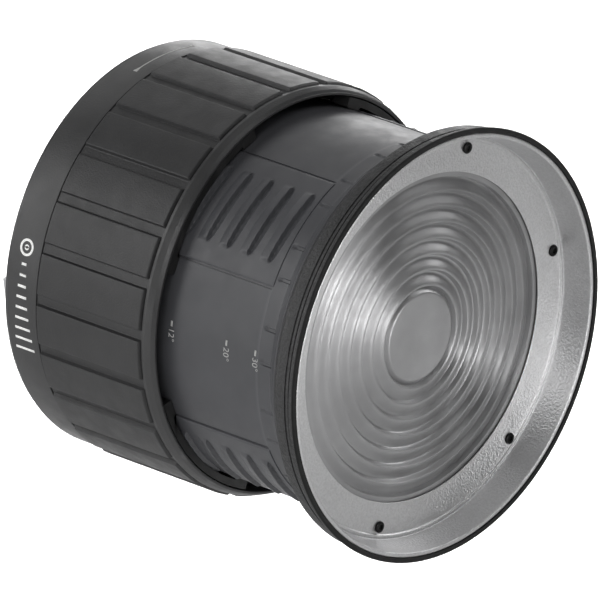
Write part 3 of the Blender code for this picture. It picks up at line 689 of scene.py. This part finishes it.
# Half widths of a groove's floor and mouth, as shares of its angle
GROOVE_FLOOR = 0.4
GROOVE_MOUTH = 0.62


def neck_grooves():
    """Centre angles of the short grooves along the collar's neck."""
    centres = []
    for i in range(NECK_ZONES):
        middle = NECK_ZONE_FIRST + 360.0 * i / NECK_ZONES
        centres += [middle - NECK_ZONE_DEG / 2.0, middle + NECK_ZONE_DEG / 2.0]
    return centres


def make_front_collar():
    """The flared collar: grooved neck, flare, lip and the lens seat inside."""
    collar = measure("front_collar")
    lens = measure("fresnel_lens")
    lip_back = collar.front - 0.7 * MM
    neck_front = collar.front - 9.7 * MM
    barrel = measure("lens_barrel")
    neck = barrel.outer + 0.4 * MM
    neck_back = barrel.front + 0.05 * MM
    spigot = barrel.inner - 0.3 * MM
    bore = lens.outer + 0.6 * MM
    outline = rounded(
        [
            (collar.outer, collar.front, 0.5 * MM),
            (collar.outer, lip_back, 0.2 * MM),
            (neck, neck_front, 2.5 * MM),
            (neck, neck_back, 0.1 * MM),
            (spigot, neck_back, 0.2 * MM),
            (spigot, collar.back, 0.4 * MM),
            (collar.inner, collar.back, 0.3 * MM),
            (collar.inner, lens.back - 2.3 * MM, 0.2 * MM),
            (bore, lens.back - 2.3 * MM, 0.2 * MM),
            (bore, collar.front, 0.3 * MM),
        ]
    )
    half_edges = [GROOVE_FLOOR, 0.5, GROOVE_MOUTH]
    edges = [-edge for edge in half_edges] + half_edges
    angles = {round(1.5 * i, 3) for i in range(240)}
    grooves = neck_grooves()
    for centre in grooves:
        angles |= {round((centre + NECK_GROOVE_DEG * edge) % 360.0, 3) for edge in edges}
    on_neck = (neck - 0.1 * MM, neck + 0.8 * MM)
    grooves_start = neck_back + NECK_GROOVE_START

    def grooved(radius, z, angle):
        if radius < on_neck[0] or radius > on_neck[1] or z < grooves_start:
            return radius
        off = min(abs(angle_off(angle, centre)) for centre in grooves) / NECK_GROOVE_DEG
        share = 1.0 - smooth_step(off, GROOVE_FLOOR, GROOVE_MOUTH)
        return radius - NECK_GROOVE_DEPTH * share

    bm = turned(subdivided(outline, 1.2 * MM), sorted(angles), grooved)
    add_piece("front_collar_detail", bm, BARREL, "barrel", ["front_collar"])


# ------------------------------------------------------------ barrel pieces

PANELS = [f"louvre_panel_{number}" for number in range(1, 5)]
LOUVRE_HALF_DEG = 12.5
# The sloping part at each end of a louvre, as a share of its half length
LOUVRE_END = 0.1
LOUVRE_PITCH = 13.1 * MM
LOUVRE_COUNT = 5
LOUVRE_INSET = 6.2 * MM
# Heights along the axis from a louvre's own middle line
HOOD_BACK = -6.6 * MM
HOOD_CREST = -1.3 * MM
HOOD_HEIGHT = 1.3 * MM
SLOT_DEPTH = 0.7 * MM
RAMP_END = 2.2 * MM
LOUVRE_SLANT = 1.6 * MM
LOUVRE_LEAD = 0.9 * MM
PANEL_STEP = 0.7 * MM
PANEL_SHOULDER_DEG = 0.5
SIDE_GROOVE_DEG = 0.9
SIDE_GROOVE_DEPTH = 0.6 * MM


def louvre_height(off_deg, z, front):
    """Height of the hoods above the panel, and below it in their slots."""
    share = off_deg / LOUVRE_HALF_DEG
    if abs(share) >= 1.0:
        return 0.0
    ends = min(1.0, (1.0 - abs(share)) / LOUVRE_END)
    blunt = math.sqrt(1.0 - share**4)
    lead = LOUVRE_LEAD - LOUVRE_SLANT * share
    for row in range(LOUVRE_COUNT):
        t = z - (front - LOUVRE_INSET - row * LOUVRE_PITCH) - lead
        if HOOD_BACK <= t <= HOOD_CREST:
            climb = (t - HOOD_BACK) / (HOOD_CREST - HOOD_BACK)
            return HOOD_HEIGHT * ends * climb * (1.6 - 0.6 * climb)
        slot_end = HOOD_CREST + (RAMP_END - HOOD_CREST) * blunt
        if HOOD_CREST < t < slot_end:
            across = (t - HOOD_CREST) / (slot_end - HOOD_CREST)
            drop = smooth_step(across, 0.0, 0.3)
            rise = smooth_step(across, 0.5, 1.0)
            return ends * (HOOD_HEIGHT * (1 - drop) - SLOT_DEPTH * drop * (1 - rise))
    return 0.0


def make_louvre_panels():
    """The four raised vent panels with their pressed hoods."""
    for node in PANELS:
        panel = measure(node)
        base = panel.outer - PANEL_STEP
        half = panel.width / 2.0

        def outer(angle, z, panel=panel, half=half, base=base):
            off = angle_off(angle, panel.centre)
            side = smooth_step(half - abs(off), 0.0, PANEL_SHOULDER_DEG)
            end = smooth_step(panel.front - z, -0.5 * MM, 0.2 * MM)
            flat = panel.inner + (base - panel.inner) * side * end
            return flat + louvre_height(off, z, panel.front)

        def inner(angle, z, outer=outer, panel=panel):
            return min(panel.inner, outer(angle, z)) - 0.5 * MM

        angles = steps_between(panel.centre - half, panel.centre + half, 118)
        heights = steps_between(panel.back, panel.front, 180)
        bm = skin(angles, heights, outer, inner)
        add_piece(node + "_detail", bm, BARREL, "barrel", [node])


def make_lens_barrel():
    """The sliding tube, with windows behind the vent panels."""
    barrel = measure("lens_barrel")
    centres = [measure(node).centre for node in PANELS]
    window_back = measure(PANELS[0]).front - LOUVRE_INSET - 4.3 * LOUVRE_PITCH
    window_front = measure(PANELS[0]).front - 3.0 * MM

    def is_window(angle, z):
        off = min(abs(angle_off(angle, centre)) for centre in centres)
        return off < LOUVRE_HALF_DEG + 0.5 and window_back < z < window_front

    def outer(angle, z):
        off = min(abs(angle_off(angle, centre)) for centre in centres) - half
        if 0.02 < off < SIDE_GROOVE_DEG - 0.02 and groove_back < z < groove_front:
            return barrel.outer - SIDE_GROOVE_DEPTH
        return barrel.outer

    half = measure(PANELS[0]).width / 2.0
    groove_back = measure(PANELS[0]).back
    groove_front = measure(PANELS[0]).front - 1.0 * MM
    angles = set(steps_between(0.0, 360.0, 360))
    for centre in centres:
        for edge in (half, half + 0.1, half + SIDE_GROOVE_DEG - 0.1, half + SIDE_GROOVE_DEG):
            angles |= {(centre - edge) % 360.0, (centre + edge) % 360.0}
    heights = steps_between(barrel.back, barrel.front, 40)
    bm = skin(sorted(angles), heights, outer, lambda a, z: barrel.inner, is_window)
    add_piece("lens_barrel_detail", bm, BARREL, "barrel", ["lens_barrel"])


# ---------------------------------------------------------- housing pieces


def make_guide_shoes():
    """The four shoes in the sleeve's mouth, keyed onto the panels."""
    for number in range(1, 5):
        node = f"guide_shoe_{number}"
        shoe = measure(node)
        panel = measure(PANELS[number - 1])
        relief = panel.outer + 0.7 * MM
        half = math.radians(shoe.width / 2.0) * shoe.outer
        key = math.radians(panel.width / 2.0 + 0.8) * shoe.outer
        corners = [
            (-half, shoe.outer, 0.4 * MM),
            (-half, shoe.inner, 2.2 * MM),
            (-key, shoe.inner, 0.3 * MM),
            (-key, relief, 0.3 * MM),
            (key, relief, 0.3 * MM),
            (key, shoe.inner, 0.3 * MM),
            (half, shoe.inner, 2.2 * MM),
            (half, shoe.outer, 0.4 * MM),
        ]
        outline = subdivided(rounded(corners), 1.5 * MM)
        bm = plate(outline, shoe.back, shoe.front, shoe.centre, shoe.outer)
        piece = add_piece(node + "_detail", bm, SHOE, "housing", [node])
        bevel(piece, 0.4 * MM)


def make_guide_tube():
    """The guide tube with its flange."""
    tube = measure("guide_tube")
    flange = 2.0 * MM
    bore = measure("lens_barrel").outer + 2.3 * MM
    outline = [
        (tube.outer, tube.front, 0.3 * MM),
        (tube.outer, tube.back, 0.2 * MM),
        (tube.inner, tube.back, 0.2 * MM),
        (tube.inner, tube.back + flange, 0.2 * MM),
        (bore, tube.back + flange, 0.2 * MM),
        (bore, tube.front, 0.3 * MM),
    ]
    bm = turned(rounded(outline))
    add_piece("guide_tube_detail", bm, ANODISED, "housing", ["guide_tube"])


def make_plain_ring(node, fillet, finish, body):
    """A ring of plain section with rounded edges, in a CAD node's place."""
    ring = measure(node)
    outline = [
        (ring.outer, ring.front, fillet),
        (ring.outer, ring.back, fillet),
        (ring.inner, ring.back, fillet),
        (ring.inner, ring.front, fillet),
    ]
    add_piece(node + "_detail", turned(rounded(outline)), finish, body, [node])


def make_rear_housing():
    """The rear casting: neck, back plate and lens cell."""
    housing = measure("rear_housing")
    plate_back = measure("focus_sleeve").back - 1.7 * MM
    plate_front = plate_back + 4.0 * MM
    neck = housing.outer - 16.0 * MM
    cell = housing.inner + 9.5 * MM
    bore = cell - 3.5 * MM
    outline = [
        (cell, housing.front, 0.5 * MM),
        (cell, plate_front, 1.5 * MM),
        (housing.outer, plate_front, 0.5 * MM),
        (housing.outer, plate_back, 1.2 * MM),
        (neck, plate_back, 2.0 * MM),
        (neck, housing.back, 0.8 * MM),
        (housing.inner, housing.back, 0.6 * MM),
        (housing.inner, plate_front - 1.0 * MM, 0.2 * MM),
        (bore, plate_front - 1.0 * MM, 0.2 * MM),
        (bore, housing.front, 0.4 * MM),
    ]
    bm = turned(rounded(outline))
    add_piece("rear_housing_detail", bm, HOUSING, "housing", ["rear_housing"])


def make_rear_lens():
    """The plano-convex condenser lens."""
    lens = measure("rear_lens")
    dome = 11.0 * MM
    outline = []
    for t in steps_between(0.0, 1.0, 24):
        outline.append((lens.outer * t, lens.front - dome * t * t))
    outline += [
        (lens.outer, lens.back + 0.5 * MM),
        (lens.outer - 0.5 * MM, lens.back),
        (0.0, lens.back),
    ]
    add_piece("rear_lens_detail", turned(outline), LENS, "housing", ["rear_lens"])


LUG_COUNT = 3
LUG_WALL_START = 6.0 * MM
LUG_WALL = 2.5 * MM
LUG_FOOT = 3.5 * MM


def make_mount_ring():
    """The bayonet ring with its three hooked lugs, where the CAD ring has them."""
    ring = measure("mount_ring")
    thickness = ring.front
    outline = [
        (ring.outer, thickness, 0.4 * MM),
        (ring.outer, 0.0, 0.6 * MM),
        (ring.inner, 0.0, 0.6 * MM),
        (ring.inner, thickness, 0.4 * MM),
    ]
    bm = turned(rounded(outline))
    add_piece("mount_ring_detail", bm, STEEL, "housing", ["mount_ring"])
    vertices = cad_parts["mount_ring"].data.vertices
    places = [v.co for v in vertices if v.co.y > LUG_WALL_START]
    foot = max(math.hypot(p.x, p.z) for p in places)
    wall_inner = min(math.hypot(p.x, p.z) for p in places)
    turns = sorted(math.degrees(math.atan2(p.z, p.x)) % 360.0 for p in places)
    gaps = [(b - a, b) for a, b in zip(turns, turns[1:] + [turns[0] + 360.0])]
    starts = [start for gap, start in sorted(gaps)[-LUG_COUNT:]]
    width = 360.0 / LUG_COUNT - sorted(gaps)[-1][0]
    section = [
        (wall_inner, thickness * 0.5, 0.0),
        (foot - LUG_WALL, thickness * 0.5, 0.0),
        (foot - LUG_WALL, ring.back + LUG_FOOT, 0.4 * MM),
        (foot, ring.back + LUG_FOOT, 0.5 * MM),
        (foot, ring.back, 0.8 * MM),
        (wall_inner, ring.back, 0.8 * MM),
    ]
    for number, start in enumerate(sorted(starts), start=1):
        bm = lug(rounded(section), start, width)
        piece = add_piece(f"bayonet_lug_{number}", bm, STEEL, "housing")
        bevel(piece, 0.4 * MM)


def lug(section, start_deg, width_deg):
    """A section swept part of the way round the axis, with closed ends."""
    bm = bmesh.new()
    rows = []
    for angle in steps_between(start_deg, start_deg + width_deg, 24):
        rows.append([bm.verts.new(place(radius, angle, z)) for radius, z in section])
    count = len(section)
    for row, following in zip(rows, rows[1:]):
        for i in range(count):
            j = (i + 1) % count
            bm.faces.new((row[i], row[j], following[j], following[i]))
    bm.faces.new(rows[0])
    bm.faces.new(rows[-1])
    return bm


def make_mount_screws():
    """The three screws of the bayonet ring."""
    for number in range(1, 4):
        node = f"mount_screw_{number}"
        screw = measure(node)
        middle = (screw.inner + screw.outer) / 2.0
        head = (screw.outer - screw.inner) / 2.0
        seat = facing(middle, screw.centre, -0.05 * MM, forward=False)
        bm = socket_screw(seat, head, -screw.back, 0.5 * head, screw.front)
        add_piece(node + "_detail", bm, STEEL, "housing", [node])


# ----------------------------------------------------------- sleeve pieces


def make_focus_sleeve():
    """The turning sleeve: rounded lip band, grip seat and chamfered rear band."""
    sleeve = measure("focus_sleeve")
    grip = measure("focus_grip")
    seat = grip.inner - 0.2 * MM
    lip = grip.outer - 1.5 * MM
    outline = [
        (lip - 1.9 * MM, sleeve.front, 0.6 * MM),
        (lip - 0.8 * MM, sleeve.front - 2.0 * MM, 1.8 * MM),
        (lip + 0.3 * MM, sleeve.front - 5.2 * MM, 2.0 * MM),
        (lip + 0.3 * MM, grip.front + 0.3 * MM, 0.3 * MM),
        (seat, grip.front + 0.3 * MM, 0.0),
        (seat, grip.back - 0.3 * MM, 0.0),
        (sleeve.outer, grip.back - 0.3 * MM, 0.4 * MM),
        (sleeve.outer, sleeve.back + 2.5 * MM, 0.3 * MM),
        (sleeve.outer - 0.7 * MM, sleeve.back + 2.1 * MM, 0.2 * MM),
        (sleeve.outer - 1.2 * MM, sleeve.back, 0.5 * MM),
        (sleeve.inner, sleeve.back, 0.4 * MM),
        (sleeve.inner, sleeve.front, 0.5 * MM),
    ]
    bm = turned(rounded(outline))
    add_piece("focus_sleeve_detail", bm, SLEEVE, "sleeve", ["focus_sleeve"])


GRIP_PADS = 25
GRIP_CHANNEL_DEG = 3.0
GRIP_FIRST_CHANNEL = 3.6
GRIP_CHANNEL_DEPTH = 1.9 * MM
GRIP_SOFT_DEG = 0.55


def make_focus_grip():
    """The rubber grip: pads with rounded edges between narrow channels."""
    grip = measure("focus_grip")
    floor = grip.outer - GRIP_CHANNEL_DEPTH
    pitch = 360.0 / GRIP_PADS
    wall_start = (GRIP_CHANNEL_DEG - GRIP_SOFT_DEG) / 2.0
    wall_end = (GRIP_CHANNEL_DEG + GRIP_SOFT_DEG) / 2.0

    def outer(angle, z):
        off = abs((angle - GRIP_FIRST_CHANNEL + pitch / 2.0) % pitch - pitch / 2.0)
        side = smooth_step(off, wall_start, wall_end)
        front = smooth_step(grip.front - z, -0.3 * MM, 0.9 * MM)
        back = smooth_step(z - grip.back, -0.3 * MM, 1.5 * MM)
        return floor + (grip.outer - floor) * side * min(front, back)

    # Cuts across a channel and its walls, then across the pad beside it, in degrees
    offsets = [-2.1, -1.85, -1.7, -1.6, -1.5, -1.4, -1.3, -1.15, -0.9, 0.0]
    offsets += [-value for value in reversed(offsets[:-1])] + [3.3, 5.0, 7.2, 9.4, 11.1]
    angles = []
    for pad in range(GRIP_PADS):
        centre = GRIP_FIRST_CHANNEL + pad * pitch
        angles += [centre + offset for offset in offsets]
    angles.append(angles[0] + 360.0)
    ends = [0.0, 0.2, 0.45, 0.7, 1.0, 1.4, 2.0]
    heights = [grip.back + end * MM for end in ends]
    heights += steps_between(grip.back + 3.0 * MM, grip.front - 3.0 * MM, 12)
    heights += [grip.front - end * MM for end in reversed(ends)]
    bm = skin(angles, heights, outer, lambda a, z: grip.inner)
    add_piece("focus_grip_detail", bm, RUBBER, "sleeve", ["focus_grip"])


# ------------------------------------------------------------------- marks


def printed(name, bm, radius, angle_deg, z, ink, body):
    """Wrap flat ink, x round the axis and y along it, onto a cylinder."""
    for vertex in bm.verts:
        turn = angle_deg + math.degrees(vertex.co.x / radius)
        vertex.co = place(radius, turn, z + vertex.co.y)
    piece = add_piece(name, bm, ink, body)
    layer = piece.modifiers.new("ink thickness", "SOLIDIFY")
    layer.thickness = 0.05 * MM
    layer.offset = 1.0


def bar(bm, x, y, width, height):
    """A flat bar from its lower left corner, cut so that it can bend."""
    columns = max(1, round(width / (1.0 * MM)))
    left = None
    for across in steps_between(x, x + width, columns):
        right = (bm.verts.new((across, y, 0.0)), bm.verts.new((across, y + height, 0.0)))
        if left is not None:
            bm.faces.new((left[0], right[0], right[1], left[1]))
        left = right


def disc(bm, x, y, radius, hole=0.0):
    """A flat disc, or a ring if it has a hole."""
    sides = 32
    rim = []
    for i in range(sides):
        turn = math.tau * i / sides
        rim.append((math.cos(turn), math.sin(turn)))
    outside = [bm.verts.new((x + radius * c, y + radius * s, 0.0)) for c, s in rim]
    if hole == 0.0:
        bm.faces.new(outside)
        return
    inside = [bm.verts.new((x + hole * c, y + hole * s, 0.0)) for c, s in rim]
    for i in range(sides):
        j = (i + 1) % sides
        bm.faces.new((outside[i], outside[j], inside[j], inside[i]))


def numeral(text, height):
    """Flat upright text as a bmesh, with its middle on the left edge."""
    curve = bpy.data.curves.new("numeral", "FONT")
    curve.body = text
    curve.size = height / 0.7
    curve.align_y = "CENTER"
    holder = bpy.data.objects.new("numeral", curve)
    bpy.context.scene.collection.objects.link(holder)
    bpy.context.view_layer.update()
    evaluated = holder.evaluated_get(bpy.context.evaluated_depsgraph_get())
    mesh = bpy.data.meshes.new_from_object(evaluated)
    bm = bmesh.new()
    bm.from_mesh(mesh)
    bpy.data.objects.remove(holder, do_unlink=True)
    bpy.data.meshes.remove(mesh)
    bpy.data.curves.remove(curve)
    return bm


SCALE_ANGLE = 171.3
# Text and its distance behind the rim, in millimetres
SCALE_MARKS = (("12°", 92.0), ("20°", 57.0), ("30°", 38.6))
TICK_LENGTH = 2.7 * MM
TICK_WIDTH = 1.1 * MM
NUMERAL_START = 3.5 * MM
NUMERAL_HEIGHT = 3.4 * MM

STROKE_COUNT = 9
STROKE_START = 7.5 * MM
STROKE_PITCH = 5.4 * MM
STROKE_WIDTH = 1.3 * MM
STROKE_ANGLE = 163.5
RANGE_MARK_ANGLE = 92.2
RANGE_HALF_LENGTH = 20.0 * MM
RANGE_LINE_WIDTH = 0.7 * MM
RANGE_GAP = 3.0 * MM
RANGE_TIP_BARS = 7
RANGE_TIP_STEP = 0.5 * MM


def make_beam_scale():
    """The beam angle scale on the barrel: a tick and a number at each mark."""
    barrel = measure("lens_barrel")
    rim = measure("trim_ring").front
    for number, (text, behind_rim) in enumerate(SCALE_MARKS, start=1):
        z = rim - behind_rim * MM
        bm = bmesh.new()
        bar(bm, 0.0, -TICK_WIDTH / 2.0, TICK_LENGTH, TICK_WIDTH)
        printed(f"scale_tick_{number}", bm, barrel.outer, SCALE_ANGLE, z, GREY_INK, "barrel")
        start = SCALE_ANGLE + math.degrees(NUMERAL_START / barrel.outer)
        bm = numeral(text, NUMERAL_HEIGHT)
        printed(f"scale_number_{number}", bm, barrel.outer, start, z, GREY_INK, "barrel")


def make_sleeve_marks():
    """Generic marks on the sleeve's rear band: growing strokes, and a range line."""
    sleeve = measure("focus_sleeve")
    z = (sleeve.back + measure("focus_grip").back) / 2.0 + 1.0 * MM
    bm = bmesh.new()
    disc(bm, 0.0, 0.0, 4.2 * MM, 3.0 * MM)
    disc(bm, 0.0, 0.0, 1.4 * MM)
    for i in range(STROKE_COUNT):
        tall = (3.0 + 1.1 * i) * MM
        bar(bm, STROKE_START + i * STROKE_PITCH, -tall / 2.0, STROKE_WIDTH, tall)
    printed("focus_mark_left", bm, sleeve.outer, STROKE_ANGLE, z, INK, "sleeve")
    bm = bmesh.new()
    line_half = RANGE_HALF_LENGTH - RANGE_GAP
    bar(bm, -line_half, -RANGE_LINE_WIDTH / 2.0, 2.0 * line_half, RANGE_LINE_WIDTH)
    for i in range(RANGE_TIP_BARS):
        size = (2.4 - 0.25 * i) * MM
        inset = i * RANGE_TIP_STEP
        bar(bm, inset - RANGE_HALF_LENGTH, -size / 2.0, RANGE_TIP_STEP, size)
        right = RANGE_HALF_LENGTH - RANGE_TIP_STEP - inset
        bar(bm, right, -size / 2.0, RANGE_TIP_STEP, size)
    z += 1.5 * MM
    printed("focus_mark_top", bm, sleeve.outer, RANGE_MARK_ANGLE, z, GREY_INK, "sleeve")


# ----------------------------------------------------- carried-over nodes


def refinish(finish, *nodes):
    """Give carried-over CAD nodes a detailed material."""
    for node in nodes:
        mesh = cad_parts[node].data
        mesh.materials.clear()
        mesh.materials.append(finish)


def finish_inner_nodes():
    """Materials for the CAD nodes whose own shape is kept."""
    refinish(ANODISED, "cam_tube")
    for number in range(1, 4):
        refinish(STEEL, f"guide_screw_{number}", f"cam_screw_{number}", f"follower_pin_{number}")
        refinish(BRASS, f"follower_roller_{number}")


# ------------------------------------------------------------ stage, camera


def make_floor():
    """A plain pale floor, well below the hanging part."""
    mesh = bpy.data.meshes.new("floor")
    half = FLOOR_SIZE / 2.0
    corners = [(-half, -half), (half, -half), (half, half), (-half, half)]
    mesh.from_pydata([(x, y, FLOOR_Z) for x, y in corners], [], [(0, 1, 2, 3)])
    finish = Finish("pale floor", (0.9, 0.9, 0.9), 0.8)
    finish.tint(finish.noise(0.5), 0.99, 1.01)
    mesh.materials.append(finish.material)
    floor = bpy.data.objects.new("floor", mesh)
    bpy.context.scene.collection.objects.link(floor)


def soft_light(name, azimuth_deg, elevation_deg, distance, size, power):
    """A square soft light aimed at the middle of the object."""
    light = bpy.data.lights.new(name, "AREA")
    light.shape = "SQUARE"
    light.size = size
    light.energy = power
    lamp = bpy.data.objects.new(name, light)
    towards = direction(azimuth_deg, elevation_deg)
    lamp.location = OBJECT_MIDDLE + towards * distance
    lamp.rotation_euler = towards.to_track_quat("Z", "Y").to_euler()
    lamp.visible_camera = False
    bpy.context.scene.collection.objects.link(lamp)


def direction(azimuth_deg, elevation_deg):
    """Unit vector towards an azimuth, from the front lens round to +X, and a height."""
    azimuth = math.radians(azimuth_deg)
    elevation = math.radians(elevation_deg)
    level = math.cos(elevation)
    return Vector((math.sin(azimuth) * level, -math.cos(azimuth) * level, math.sin(elevation)))


def floor_spot():
    """A spot straight above the floor behind the object, to turn it white."""
    light = bpy.data.lights.new("floor_spot", "SPOT")
    light.spot_size = math.radians(FLOOR_LIGHT_CONE_DEG)
    light.spot_blend = 0.3
    light.shadow_soft_size = 0.05
    light.energy = FLOOR_LIGHT_POWER
    lamp = bpy.data.objects.new("floor_spot", light)
    lamp.location = direction(VIEW_AZIMUTH, 0.0) * -FLOOR_LIGHT_BEHIND
    lamp.location.z = FLOOR_LIGHT_HEIGHT
    bpy.context.scene.collection.objects.link(lamp)


def light_scene():
    """Soft boxes round the object, and a spot on the floor behind it."""
    world = bpy.data.worlds.new("studio")
    world.use_nodes = True
    background = world.node_tree.nodes["Background"]
    background.inputs["Color"].default_value = (1.0, 1.0, 1.0, 1.0)
    background.inputs["Strength"].default_value = WORLD_STRENGTH
    bpy.context.scene.world = world
    for name, azimuth, elevation, distance, size, power in SOFT_LIGHTS:
        soft_light(name, azimuth, elevation, distance, size, power)
    floor_spot()
    bpy.context.scene.view_settings.view_transform = "Standard"


def place_camera():
    """The photograph's viewpoint, as a long lens a few metres away."""
    back = direction(VIEW_AZIMUTH, VIEW_ELEVATION)
    right = direction(VIEW_AZIMUTH + 90.0, 0.0)
    up = back.cross(right)
    rim_centre = place(0.0, 0.0, measure("trim_ring").front)
    stand = rim_centre + right * VIEW_RIGHT_OF_RIM + up * VIEW_ABOVE_RIM + back * VIEW_DISTANCE
    camera = bpy.data.cameras.new("camera")
    camera.lens = VIEW_LENS
    camera.sensor_width = 36.0
    holder = bpy.data.objects.new("camera", camera)
    turn = Matrix((right, up, back)).transposed().to_4x4()
    holder.matrix_world = Matrix.Translation(stand) @ turn
    bpy.context.scene.collection.objects.link(holder)
    bpy.context.scene.camera = holder


place_camera()
make_trim_ring()
make_lens_dish()
make_dish_screws()
make_fresnel_lens()
make_front_collar()
make_louvre_panels()
make_lens_barrel()
make_guide_shoes()
make_guide_tube()
make_plain_ring("front_slide_ring", 0.2 * MM, SHOE, "housing")
make_plain_ring("rear_slide_ring", 0.2 * MM, ACETAL, "housing")
make_plain_ring("barrel_slide_ring", 0.2 * MM, ACETAL, "barrel")
make_plain_ring("rear_lens_gasket", 0.2 * MM, SILICONE, "housing")
make_plain_ring("front_lens_gasket", 0.2 * MM, SILICONE, "barrel")
make_plain_ring("rear_lens_retainer", 0.3 * MM, ANODISED, "housing")
make_rear_housing()
make_rear_lens()
make_mount_ring()
make_mount_screws()
make_focus_sleeve()
make_focus_grip()
make_beam_scale()
make_sleeve_marks()
finish_inner_nodes()
make_floor()
light_scene()
